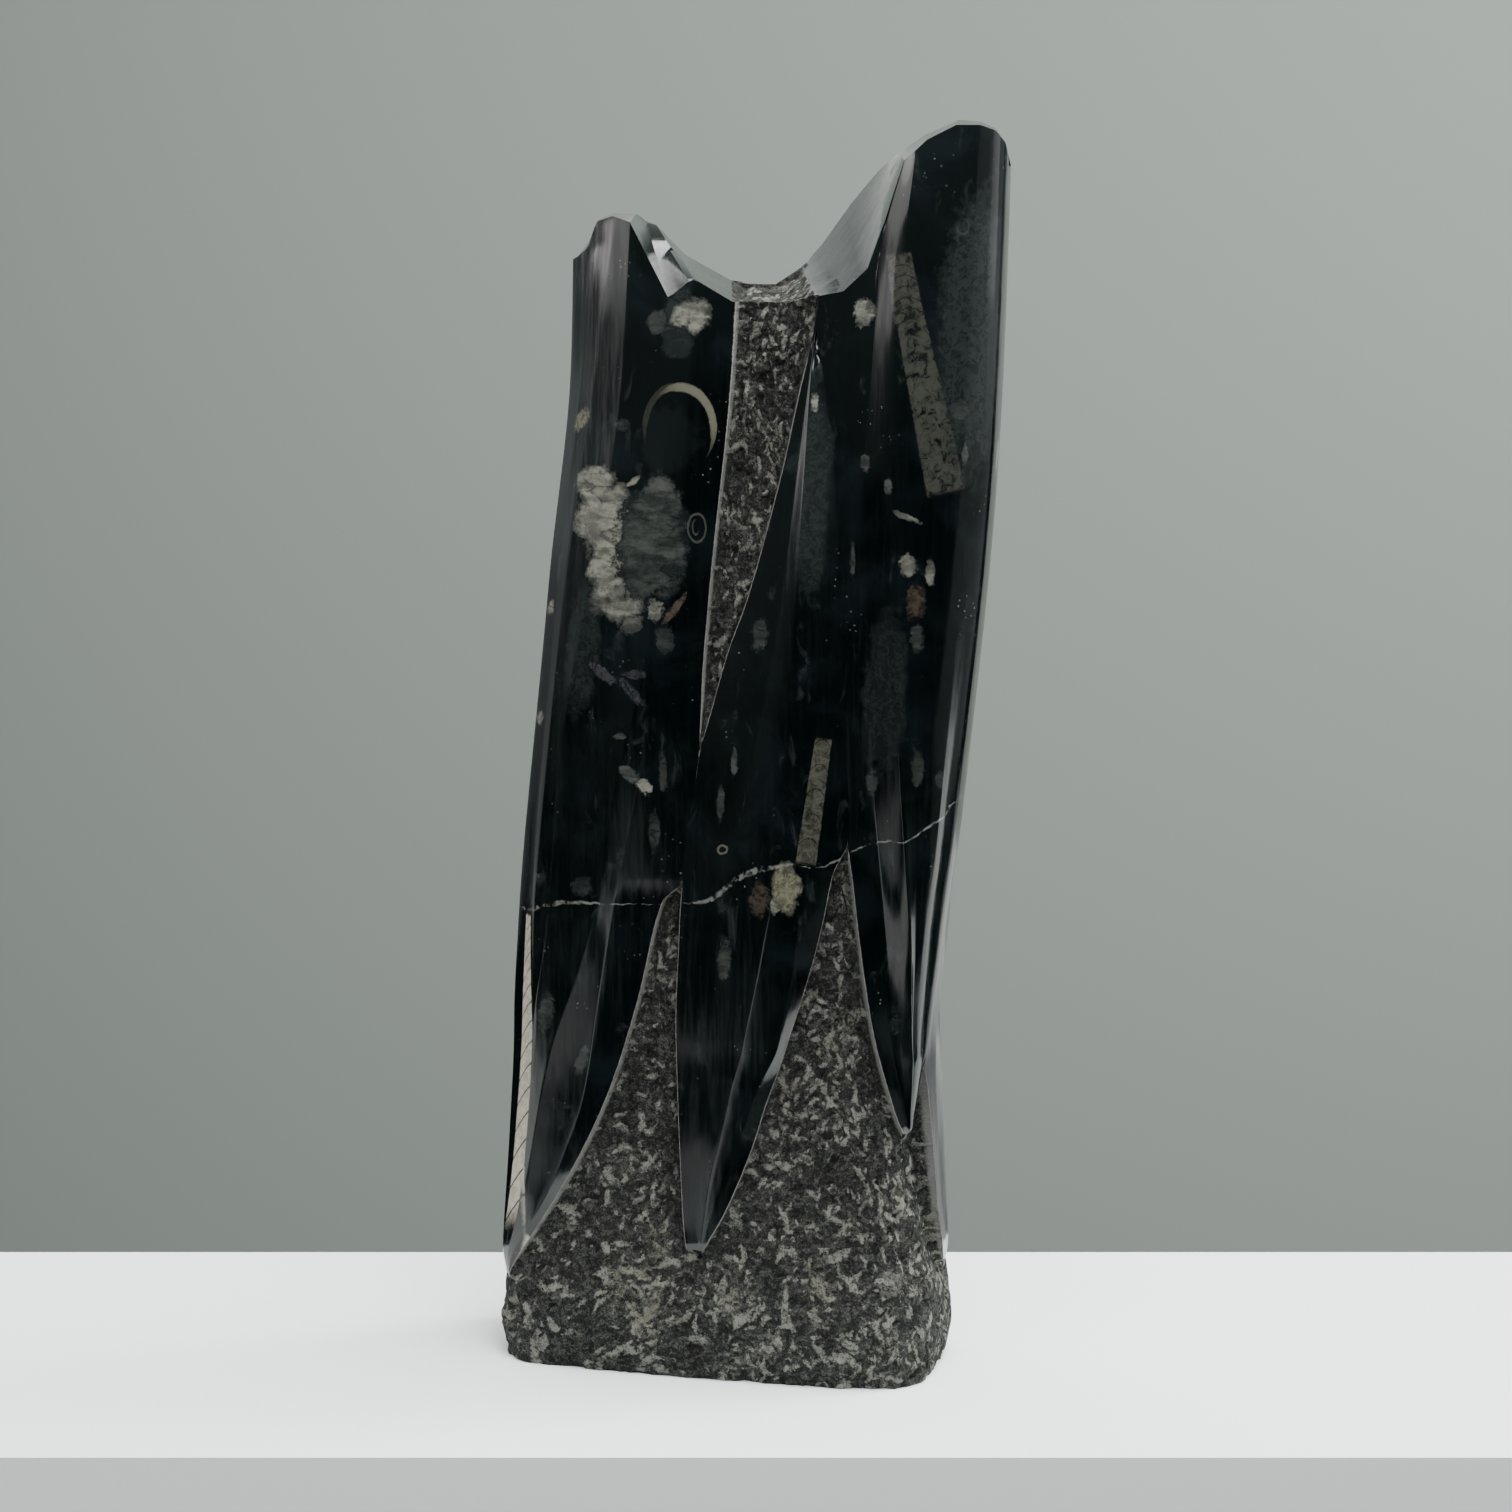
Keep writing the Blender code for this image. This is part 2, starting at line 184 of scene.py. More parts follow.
@dataclass
class ChiselMarks:
    """Relief that a point chisel leaves, in arc length and height on the surface."""

    lump_size: float = 7.0
    lump_height: float = 1.9
    lump_seed: float = 41.0
    girth: float = 425.0
    relief: float = 1.5
    grain: float = 0.55

    def strokes(self, arc: np.ndarray, z: np.ndarray, pitch: float, stretch: float,
                seed: float) -> np.ndarray:
        """Scatter short ridges: the nearest of one ellipse per cell of a jittered grid.

        Each cell of the grid holds one ellipse at a random place, turned by a slowly changing
        angle plus a random one. A point's value is one less its distance over the ellipse's size.

        Args:
            arc: distance round the block.
            z: height.
            pitch: the grid's step.
            stretch: how many times longer than wide a ridge is.
            seed: picks another scatter.

        Returns:
            0 or less between ridges, rising to 1 in the middle of one.
        """
        around = max(1, round(self.girth / pitch))
        u, v = arc / self.girth * around, z / pitch
        best = np.zeros_like(arc)
        for i in (-1, 0, 1):
            for j in (-1, 0, 1):
                cell_u, cell_v = np.floor(u) + i, np.floor(v) + j
                name = cell_u % around
                rnd = [chance(name, cell_v, np.full_like(name, k), seed=seed) for k in range(4)]
                du, dv = u - cell_u - rnd[0], v - cell_v - rnd[1]
                lean = 2.2 * (lumps(cell_u * pitch, cell_v * pitch, 0 * cell_u, 38.0, seed) - 0.5)
                turn = lean + (rnd[2] - 0.5) * 1.5
                c, s = np.cos(turn), np.sin(turn)
                size = 0.30 + 0.34 * rnd[3]
                reach = np.hypot((du * c + dv * s) / stretch, -du * s + dv * c) / size
                best = np.maximum(best, 1 - reach)
        return best

    def carve(self, x: np.ndarray, y: np.ndarray, z: np.ndarray, arc: np.ndarray) -> np.ndarray:
        """Work out the pecked relief: soft lumps, plus pits that the ridges keep out, plus grain.

        Args:
            x, y, z: points on the surface.
            arc: their distance round the block.

        Returns:
            How far inwards each point lies.
        """
        warp_a = (lumps(x, y, z, 3.4, 11.0) - 0.5) * 3.2
        warp_z = (lumps(x, y, z, 3.1, 23.0) - 0.5) * 3.2
        long = self.strokes(arc + warp_a, z + warp_z, 6.1, 2.1, 3.0)
        short = self.strokes(arc - warp_z, z + warp_a, 3.9, 1.5, 9.0) * 0.8
        ridge = smooth(np.maximum(long, short) * 1.9)
        hills = lumps(x, y, z, self.lump_size, self.lump_seed)
        fine = lumps(x, y, z, 2.1, 5.0)
        pits = self.relief * (1 - ridge) * (0.55 + 0.45 * fine)
        return hills * self.lump_height + pits + self.grain * fine


@dataclass
class StoneBlock:
    """The whole block as one closed surface with polished cones, pecked floor, top and foot."""

    name: str = "fossil_stone"
    section: Section = field(default_factory=Section)
    marks: ChiselMarks = field(default_factory=ChiselMarks)
    edge_depth: tuple[Pair, ...] = (
        (0, 1.5), (30, 1.5), (45, 2.0), (80, 3.5), (120, 5.0), (200, 6.0), (445, 6.0))
    floor_depth: tuple[Pair, ...] = (
        (0, 1.6), (14, 0.2), (28, 0.8), (45, 3.6), (80, 6.2), (120, 7.6), (200, 8.6), (445, 8.6))
    edge_full_width: float = 6.0
    crown_full_width: float = 24.0
    foot_step: float = 0.6
    left_cone: tuple[Rail, ...] = (
        (0, ((29, 215), (45, 190), (64, 160), (107, 125), (150, 110), (180, 106), (385, 108), (445, 110))),
        (0.75, ((29, 215), (64, 172), (107, 145), (180, 126), (300, 128), (445, 130))),
        (1, ((29, 215), (64, 184), (107, 166), (180, 152), (300, 150), (445, 152))),
        (1, ((29, 215), (64, 203), (107, 198), (180, 192), (300, 189), (445, 188))),
        (0.45, ((29, 215), (60, 221.5), (115, 221), (165, 212), (220, 208), (330, 207), (364, 212.5),
            (401, 220))),
        (0.8, ((29, 215), (60, 221.5), (115, 221.2), (165, 218.5), (240, 218), (334, 220.5), (365, 223.5),
            (410, 229))),
        (1, ((29, 215), (60, 221.5), (115, 222), (170, 226.5), (224, 225.5), (260, 227.5), (303, 231),
            (334, 232.5), (410, 234.5))),
        (1, ((29, 215), (60, 222), (105, 227.5), (147, 237), (170, 240.5), (212, 242.6), (265, 247),
            (391, 244))),
        (0.8, ((29, 215), (57, 228.5), (81, 234.5), (100, 238.5), (136, 242), (190, 245.6), (244, 249.3),
            (383, 251))),
        (0, ((29, 215), (47, 225.4), (84, 238.6), (109, 245.2), (136, 250.7), (172, 255.4), (180, 260.4),
            (223, 261), (262, 259.5), (305, 259.2), (383, 260.4))),
    )
    middle_cone: tuple[Rail, ...] = (
        (0, ((45, 269), (47, 265.8), (83, 263.6), (119, 262), (155, 261), (180, 260.4), (223, 261.2),
            (243, 263.5), (262, 266.2), (280, 270), (322, 275.8), (350, 279), (378, 283), (397, 284.2))),
        (0.45, ((45, 269), (74, 269), (110, 269.5), (150, 270), (182, 272), (211, 275.5), (246, 278),
            (295, 280), (340, 281), (378, 283), (397, 284.2))),
        (1, ((45, 269), (74, 272.3), (92, 275.8), (107, 278.2), (122, 281.2), (155, 284.5), (194, 286.5),
            (229, 285.6), (281, 283.5), (350, 282.2), (378, 283), (397, 284.2))),
        (0.7, ((45, 269), (62, 273), (75, 276), (93, 281.3), (108, 285.2), (123, 290.2), (155, 293),
            (194, 291), (247, 288.4), (281, 286), (350, 283.3), (378, 283), (397, 284.2))),
        (0, ((45, 269), (62, 276.2), (86, 283.7), (101, 287.3), (118, 292), (143, 297), (168, 300.2),
            (184, 301.2), (196, 303.9), (239, 298.7), (281, 294.5), (322, 290.5), (360, 285.3), (378, 283),
            (397, 284.2))),
    )
    right_cone: tuple[Rail, ...] = (
        (0, ((86, 332), (94, 326), (104, 322.9), (125, 317.6), (151, 312.3), (179, 307.2), (196, 303.9),
            (239, 298.7), (281, 294.5), (322, 290.5), (360, 285.3), (378, 283), (397, 284.2))),
        (0.15, ((86, 332), (120, 325), (158, 319), (212, 309.5), (254, 304.6), (296, 300), (333, 297.6),
            (397, 298.7), (433, 304.8))),
        (1, ((86, 332), (120, 330), (158, 325), (194, 317.8), (233, 312), (275, 307.9), (316, 303.8),
            (368, 302.3), (432, 305.6))),
        (0.9, ((86, 332), (140, 329), (229, 320.5), (275, 317.4), (323, 315.8), (438, 316.7))),
        (1, ((86, 332), (140, 334), (229, 330), (350, 327.3), (442, 327.3))),
        (1, ((86, 332), (110, 336), (150, 345), (200, 349), (300, 348), (442, 347))),
        (0.9, ((86, 332), (95, 333.5), (105, 337), (114, 340), (122, 346), (130, 352), (150, 361), (180, 369),
            (250, 377), (350, 381), (442, 384))),
    )
    back_right_cone: tuple[Rail, ...] = (
        (0.9, ((36, 372), (43, 360), (64, 350), (82, 347.9), (107, 343), (114, 340), (122, 346), (130, 352),
            (150, 361), (180, 369), (250, 377), (350, 381), (442, 384))),
        (0.9, ((36, 372), (64, 360), (107, 362), (180, 384), (300, 393), (442, 396))),
        (1, ((36, 372), (64, 371), (107, 380), (180, 400), (300, 410), (442, 412))),
        (0.85, ((36, 372), (64, 378), (107, 393), (180, 412), (300, 424), (442, 430))),
        (0, ((36, 372), (64, 387), (107, 405), (150, 418), (200, 429), (240, 435), (300, 441), (442, 451))),
    )
    back_cone: tuple[Rail, ...] = (
        (0, ((58, 446), (64, 441), (110, 437), (150, 431), (192, 427.5), (240, 435), (300, 449), (350, 460),
            (385, 468), (445, 470))),
        (0.8, ((58, 446), (110, 442), (180, 440), (240, 446), (300, 456), (385, 468), (445, 470))),
        (1, ((58, 446), (110, 448), (180, 453), (240, 457), (300, 461), (385, 468), (445, 470))),
        (0, ((58, 446), (64, 449), (110, 456), (150, 462), (180, 466), (385, 468), (445, 470))),
    )
    top_creases: tuple[tuple[float, float, float, float], ...] = (
        (-54, 396, -72.5, 393.5), (-50, 401, -66, 399), (-47, 409.5, -63.5, 407), (-41, 411.5, -57.5, 409.5),
        (-35, 409.5, -47.5, 409.5), (-21.5, 384.5, -45.5, 409), (-13.5, 390.5, -43.5, 408),
        (-11, 390, -31, 395.5), (1.5, 382.5, -13.5, 386.5), (11, 382, -6.5, 386), (21.5, 382, 2, 386),
        (31, 384.5, 11.5, 392.5), (41, 386, 18.5, 400), (49.5, 393.5, 29.5, 414.5), (55, 410, 40, 426),
        (60.5, 430.5, 46, 431), (69, 438.5, 56, 438), (79, 443.5, 68.5, 443.5), (87.5, 443.5, 76, 443),
        (93, 441.5, 81, 441), (96.5, 437, 84.5, 436.5), (98.5, 429, 86.5, 428.5),
    )
    rounded_spans: tuple[tuple[int, int], ...] = ((2, 3), (2, 4), (2, 5))
    crease_depth: float = 29.0
    saddle_creases: tuple[int, int] = (8, 11)
    spine_gap: float = 0.04
    beyond_ends: float = 1000.0
    facet_pitch: float = 4.2
    ridge_width: float = 0.45
    floor_columns: tuple[int, ...] = (46, 54, 22, 60, 84)
    level_rows: int = 216
    rim_rows: int = 58
    rim_start: float = 330.0
    cap_steps: int = 18
    bevel: float = 0.45
    foot_worn: float = 9.0
    foot_wave: float = 1.0
    foot_inset: float = 2.0
    edge_lumps: float = 0.18
    arris_gap: float = 1.5
    rim_guess: float = 400.0
    rim_tries: int = 40
    saddle_flat: float = 900.0
    nudge_start: float = 300.0
    table_step: float = 0.5
    merge_distance: float = 0.000002
    cap_crease_angle: float = 24.0
    wall_crease_angle: float = 40.0

    @property
    def cones(self) -> tuple[tuple[Rail, ...], ...]:
        """The five cones in order round the block."""
        return (self.left_cone, self.middle_cone, self.right_cone, self.back_right_cone, self.back_cone)

    def trace_cones(self, heights: np.ndarray) -> list[tuple[np.ndarray, np.ndarray]]:
        """Read every cone's rails: no rail crosses the one before it, and a cone's edges and
        ridges sink to the floor where the cone comes to its point.

        Args:
            heights: where to read the rails.

        Returns:
            (bearings, depths) for each cone, each with one row per rail.
        """
        floor = ease(heights, self.floor_depth)
        edge_height = floor - ease(heights, self.edge_depth)
        traced = []
        lowest = np.full(len(heights), -360.0)
        for cone in self.cones:
            bearings = []
            for _, stations in cone:
                lowest = np.maximum(lowest, ease(heights, stations))
                bearings.append(lowest)
            width = bearings[-1] - bearings[0]
            edge = floor - edge_height * smooth(width / self.edge_full_width)
            rise = smooth(width / self.crown_full_width)
            depths = [edge * (1 - crown * rise) for crown, _ in cone]
            traced.append((np.array(bearings), np.array(depths)))
        return traced

    def lay_columns(self, heights: np.ndarray) -> tuple[np.ndarray, np.ndarray, np.ndarray]:
        """Lay out the loft's columns: each cone's flat facets, then the floor after it.

        A facet's columns lie on the straight chord between its two rails, or on the section's
        own curve where the span is rounded, with one close to each ridge, and the ridge itself
        is drawn in to the middle of its neighbours.

        Args:
            heights: the heights of the table.

        Returns:
            A (column, quantity, height) table of x, y, outward x and y, share of the floor's
            relief and share of the arris; each column's surface to its right; and whether a
            column is a ridge or an edge that may not move.
        """
        floor = ease(heights, self.floor_depth)
        traced = self.trace_cones(heights)
        zero = np.zeros(len(heights))
        columns, surfaces, fixed = [], [], []
        for number, (bearings, depths) in enumerate(traced):
            worn = 1 - smooth((bearings[-1] - bearings[0]) / self.edge_full_width)
            next_bearings, next_depths = traced[(number + 1) % len(traced)]
            next_worn = 1 - smooth((next_bearings[-1] - next_bearings[0]) / self.edge_full_width)
            before = traced[number - 1][0][-1] - (360.0 if number == 0 else 0.0)
            gap_before = np.maximum(bearings[0] - before, 0.0)
            turn = 360.0 if number + 1 == len(traced) else 0.0
            gap = np.maximum(next_bearings[0] + turn - bearings[-1], 0.0)
            rails = [self.section.place(heights, b, d) for b, d in zip(bearings, depths)]
            start = len(columns)
            for span, (near, far) in enumerate(zip(rails[:-1], rails[1:])):
                width = np.hypot(*(far - near)[:2])
                count = max(1, int(np.ceil(width.max() / self.facet_pitch)))
                edge = np.minimum(self.ridge_width / np.maximum(width, 0.001), 0.25)
                inner = [edge + (1 - 2 * edge) * n / count for n in range(count + 1)]
                rounded = (number, span) in self.rounded_spans
                for share in [zero] + inner:
                    placed = near + (far - near) * share
                    if rounded:
                        turned, sunk = (v[span] + (v[span + 1] - v[span]) * share for v in (bearings, depths))
                        placed = self.section.place(heights, turned, sunk)
                    columns.append(np.vstack([placed, worn, zero]))
                    surfaces.append(Surface.POLISHED.value)
                    fixed.append(False)
                fixed[-len(inner) - 1] = True
            columns.append(np.vstack([rails[-1], worn, zero]))
            fixed.append(True)
            surfaces.append(Surface.PECKED.value)
            for n in range(start + 1, len(columns) - 1):
                if fixed[n]:
                    columns[n][:2] = columns[n][:2] / 2 + (columns[n - 1][:2] + columns[n + 1][:2]) / 4
            columns[start][5] = smooth(gap_before / self.arris_gap) * (1 - worn)
            columns[-1][5] = smooth(gap / self.arris_gap) * (1 - worn)

            opened = smooth(gap / self.edge_full_width)
            step = np.minimum(self.foot_step, gap * 0.15)
            shares = np.linspace(0, 1, self.floor_columns[number])
            for share in shares:
                edge = np.where(gap > 0, depths[-1] * (1 - share) + next_depths[0] * share, depths[-1])
                bearing = bearings[-1] + step + (gap - 2 * step) * share
                at_foot = 0 < share < 1
                beside = worn if share == 0 else next_worn
                relief = opened * (1.0 if at_foot else np.maximum(self.edge_lumps, beside))
                placed = self.section.place(heights, bearing, edge + (floor - edge) * opened)
                columns.append(np.vstack([placed, relief, zero]))
                surfaces.append(Surface.PECKED.value)
                fixed.append(not at_foot)
        return np.array(columns), np.array(surfaces), np.array(fixed)

    def read_columns(self, table: np.ndarray, heights: np.ndarray, levels: np.ndarray) -> np.ndarray:
        """Read the columns' table at each column's own levels.

        Args:
            table: (column, quantity, height) values.
            heights: the table's heights.
            levels: (row, column) heights to read at.

        Returns:
            (quantity, row, column) values.
        """
        read = [[np.interp(levels[:, n], heights, line) for line in lines] for n, lines in enumerate(table)]
        return np.array(read).transpose(1, 2, 0)

    def crease_lines(self, share: np.ndarray) -> tuple[np.ndarray, np.ndarray]:
        """Give the creases' places across and heights, on straight lines from front to back."""
        front_x, front_z, back_x, back_z = np.array(self.top_creases).T
        share = np.asarray(share)[..., None]
        return front_x + (back_x - front_x) * share, front_z + (back_z - front_z) * share

    def depth_share(self, y: np.ndarray) -> np.ndarray:
        """Turn a place in depth into a share of the way from the creases' front to back ends."""
        return (y + self.crease_depth) / (2 * self.crease_depth)

    def crease_number(self, x: np.ndarray, share: np.ndarray) -> np.ndarray:
        """Say between which creases a point lies, as a fractional crease number."""
        lines, _ = self.crease_lines(share)
        return np.array([np.interp(a, line, np.arange(len(line))) for a, line in zip(x, lines)])

    def on_top(self, number: np.ndarray, share: np.ndarray) -> np.ndarray:
        """Place points of the sawn top: straight between two creases at a share of the depth.

        Args:
            number: fractional crease numbers.
            share: shares of the depth.

        Returns:
            Rows of x, y and z.
        """
        across, height = self.crease_lines(share)
        low = np.clip(np.floor(number).astype(int), 0, len(self.top_creases) - 2)
        part = number - low
        pick = np.arange(len(low))
        x = across[pick, low] * (1 - part) + across[pick, low + 1] * part
        z = height[pick, low] * (1 - part) + height[pick, low + 1] * part
        return np.array([x, (2 * np.asarray(share) - 1) * self.crease_depth, z])

    def rim_heights(self, table: np.ndarray, heights: np.ndarray) -> np.ndarray:
        """Find where each column meets the sawn top, by stepping up and down to it."""
        rim = np.full(len(table), self.rim_guess)
        for _ in range(self.rim_tries):
            x, y = self.read_columns(table, heights, rim[None, :])[:2, 0]
            share = self.depth_share(y)
            rim = 0.5 * (rim + self.on_top(self.crease_number(x, share), share)[2])
        return rim

    def meet_creases(self, table: np.ndarray, heights: np.ndarray, fixed: np.ndarray) -> np.ndarray:
        """Lead the column nearest to each crease's end on to it, within its own facet.

        Between two columns the facet is flat, so a column moved part of the way to its
        neighbour stays on it. The move grows from nothing at nudge_start to all at the rim.

        Args:
            table: the columns' table.
            heights: its heights.
            fixed: the columns that may not move.

        Returns:
            The table with those columns moved.
        """
        rim = self.rim_heights(table, heights)
        x, y = self.read_columns(table, heights, rim[None, :])[:2, 0]
        number = self.crease_number(x, self.depth_share(y))
        grown = smooth((heights - self.nudge_start) / (rim.min() - self.nudge_start))
        moved = table.copy()
        taken = fixed.copy()
        count = len(table)
        for crease in range(1, len(self.top_creases) - 1):
            for n in range(count):
                after = (n + 1) % count
                low, high = sorted((number[n], number[after]))
                if not low <= crease < high or high - low > 2:
                    continue
                part = (crease - number[n]) / (number[after] - number[n])
                near, to, weight = (n, after, part) if part < 0.5 else (after, n, 1 - part)
                if not taken[near]:
                    moved[near] = table[near] + (table[to] - table[near]) * weight * grown
                    taken[near] = True
        return moved

    def zip_lines(self, first: tuple, second: tuple) -> list[tuple[int, int, int]]:
        """Join two rows of points, both in order along +X, with one band of triangles.

        Args:
            first, second: (indices, rising places) of each row.

        Returns:
            Triangles. Each step of either row makes one with the last point of the other.
        """
        (ids_a, x_a), (ids_b, x_b) = first, second
        steps = [(x, 0, n) for n, x in enumerate(x_a) if n] + [(x, 1, n) for n, x in enumerate(x_b) if n]
        at = [0, 0]
        triangles = []
        for _, row, n in sorted(steps):
            tip = ids_b[at[1]] if row == 0 else ids_a[at[0]]
            rows = (ids_a, ids_b)[row]
            edge = (rows[at[row]], rows[n])
            triangles.append((edge[0], edge[1], tip) if row == 0 else (edge[1], edge[0], tip))
            at[row] = n
        return triangles

    def quads(self, grid: np.ndarray) -> np.ndarray:
        """List the quads of a grid of point numbers."""
        corners = (grid[:-1, :-1], grid[:-1, 1:], grid[1:, 1:], grid[1:, :-1])
        return np.stack([c.ravel() for c in corners], axis=1)

    def build(self, materials: Sequence[bpy.types.Material]) -> bpy.types.Object:
        """Work out the walls, the sawn top and the foot, and put them into one mesh.

        Args:
            materials: the finishes, in the order of Surface.

        Returns:
            The stone as an object at the origin.
        """
        heights = np.arange(0.0, self.section.stations[-1][0] + self.table_step, self.table_step)
        table, surfaces, fixed = self.lay_columns(heights)
        table = self.meet_creases(table, heights, fixed)
        rim = self.rim_heights(table, heights)
        columns = len(rim)

        # Walls: level rows up to rim_start, then rows that spread out to meet the rim, the
        # last one a bevel's width below it.
        level = np.linspace(0, self.rim_start, self.level_rows + 1)
        upper = np.linspace(0, 1, self.rim_rows)[1:, None] * (rim - self.bevel - self.rim_start)[None, :]
        z = np.vstack([np.repeat(level[:, None], columns, axis=1), self.rim_start + upper, rim[None, :]])
        x, y, out_x, out_y, relief, arris = self.read_columns(table, heights, z)
        angle = np.unwrap(np.arctan2(y, x - x.mean()), axis=1)
        arc = self.marks.girth * self.arc_share(angle)
        inward = self.marks.carve(x, y, z, arc)
        foot = smooth(1 - z / self.foot_worn)
        chips = lumps(x, y, z, 13.0, 77.0)
        inward = inward * relief + foot * (0.3 + 1.5 * chips)
        wave = self.foot_wave * lumps(x, y, 0 * z, 21.0, 15.0) ** 2
        z = z + wave * smooth(1 - z / 12.0)
        wall = np.stack([x - out_x * inward, y - out_y * inward, z], axis=2)
        points, arrises = [wall.reshape(-1, 3)], [arris.ravel()]
        flats = [np.stack([arc, z, 0 * z], axis=2).reshape(-1, 3)]
        ids = np.arange(wall.shape[0] * columns).reshape(-1, columns)
        around = np.hstack([ids, ids[:, :1]])
        faces = [self.quads(around)]
        kinds = [np.tile(surfaces, wall.shape[0] - 1)]

        # Foot: a ring drawn in on to the table, closed by one flat face.
        sole = wall[0] * 1.0
        length = np.hypot(out_x[0], out_y[0])
        sole[:, 0] -= out_x[0] / length * self.foot_inset
        sole[:, 1] -= out_y[0] / length * self.foot_inset
        sole[:, 2] = 0.0
        first = len(points[0])
        ring = np.arange(columns) + first
        points.append(sole)
        arrises.append(np.zeros(columns))
        flats.append(np.stack([arc[0], z[0] - self.foot_inset, 0 * z[0]], axis=1))
        faces.append(self.quads(np.vstack([np.append(ring, ring[:1]), around[0]])))
        kinds.append(np.full(columns, Surface.PECKED.value))
        sole_face = ring[::-1].tolist()

        # Top: lines along the creases, from the rim to each side of the middle line.
        rim_x, rim_y, _ = wall[-1].T
        share = self.depth_share(rim_y)
        number = self.crease_number(rim_x, share)
        front = np.flatnonzero(rim_y < 0)
        back = (front[0] - 1 - np.arange(columns - len(front))) % columns
        spines = []
        total = first + columns
        for order, end in (
            (front, np.maximum(share, 0.5 - self.spine_gap)),
            (back, np.minimum(share, 0.5 + self.spine_gap)),
        ):
            rows = [ids[-1][order]]
            mid = number[order]
            low, high = self.saddle_creases
            in_saddle = smooth((mid - low) * 4) * smooth((high - mid) * 4)
            bevel = self.bevel / np.maximum(np.abs(end[order] - share[order]) * 2 * self.crease_depth, 1.0)
            for step in np.concatenate([[0.0], np.linspace(0, 1, self.cap_steps)[1:]]):
                part = bevel if step == 0 else bevel + (1 - bevel) * step
                reach = share[order] + (end[order] - share[order]) * part
                top = self.on_top(mid, reach)
                top[2] -= self.marks.carve(*top, top[0] + top[1]) * in_saddle
                rows.append(np.arange(len(order)) + total)
                points.append(top.T)
                arrises.append(np.zeros(len(order)))
                flats.append(np.stack([top[0], self.saddle_flat + top[1], 0 * top[1]], axis=1))
                total += len(order)
            rows = np.array(rows)
            faces.append(self.quads(rows))
            mids = (mid[:-1] + mid[1:]) / 2
            rough = (mids > self.saddle_creases[0]) & (mids < self.saddle_creases[1])
            kinds.append(np.tile(rough.astype(int), len(rows) - 1))
            ends = np.arange(1, len(rows)) * self.beyond_ends
            chain = np.concatenate([rows[:-1, 0], rows[-1], rows[-2::-1, -1]])
            spines.append((chain, np.concatenate([-ends[::-1], np.maximum.accumulate(top[0]), ends])))
        band = self.zip_lines(*spines)
        every = np.vstack(points)
        band_x = every[np.array(band)].mean(axis=1)
        band_number = self.crease_number(band_x[:, 0], self.depth_share(band_x[:, 1]))
        band_rough = (band_number > self.saddle_creases[0]) & (band_number < self.saddle_creases[1])
        all_faces = np.vstack(faces).tolist() + [list(t) for t in band] + [sole_face]
        all_kinds = np.concatenate(kinds + [band_rough.astype(int), [Surface.PECKED.value]])
        carried = {"arris": np.concatenate(arrises), "flat": np.vstack(flats)}
        return self.into_mesh(every, all_faces, all_kinds, carried, materials)

    def arc_share(self, angle: np.ndarray) -> np.ndarray:
        """Turn bearings in radians into shares of the way round a 2 to 1 rounded section."""
        turn = np.linspace(0, 2 * np.pi, 721)
        place = self.section.place(np.full(721, 200.0), np.degrees(turn), np.full(721, 0.0))
        run = np.concatenate([[0.0], np.cumsum(np.hypot(*np.diff(place[:2], axis=1)))])
        whole = np.floor(angle / (2 * np.pi))
        true_turn = np.unwrap(np.arctan2(place[1], place[0] - place[0].mean()))
        true_turn[-1] = true_turn[0] + 2 * np.pi
        return np.interp(angle - whole * 2 * np.pi, true_turn, run / run[-1]) + whole

    def into_mesh(self, points: np.ndarray, faces: list, kinds: np.ndarray, carried: dict[str, np.ndarray],
                  materials: Sequence[bpy.types.Material]) -> bpy.types.Object:
        """Put the surface into a mesh, merge the closed columns and mark its sharp edges.

        Args:
            points: every point, in millimetres.
            faces: lists of point numbers.
            kinds: each face's Surface number.
            carried: what the points carry: each one's share of a cone's arris, and its place
                on the surface laid flat.
            materials: the finishes.

        Returns:
            The stone as an object.
        """
        mesh = bpy.data.meshes.new(self.name)
        mesh.from_pydata((points * MM).tolist(), [], faces)
        for material in materials:
            mesh.materials.append(material)
        mesh.polygons.foreach_set("material_index", kinds.astype(np.int32))
        for name, values in carried.items():
            kind, field_name = ("FLOAT", "value") if values.ndim == 1 else ("FLOAT_VECTOR", "vector")
            layer = mesh.attributes.new(name, kind, "POINT")
            layer.data.foreach_set(field_name, values.astype(np.float32).ravel())
        work = bmesh.new()
        work.from_mesh(mesh)
        bmesh.ops.remove_doubles(work, verts=work.verts, dist=self.merge_distance)
        bmesh.ops.recalc_face_normals(work, faces=work.faces)
        bmesh.ops.triangulate(work, faces=[f for f in work.faces if len(f.verts) > 4])
        work.to_mesh(mesh)
        work.free()
        mesh.polygons.foreach_set("use_smooth", np.ones(len(mesh.polygons), dtype=bool))
        self.mark_sharp(mesh)
        return into_scene(bpy.data.objects.new(self.name, mesh))

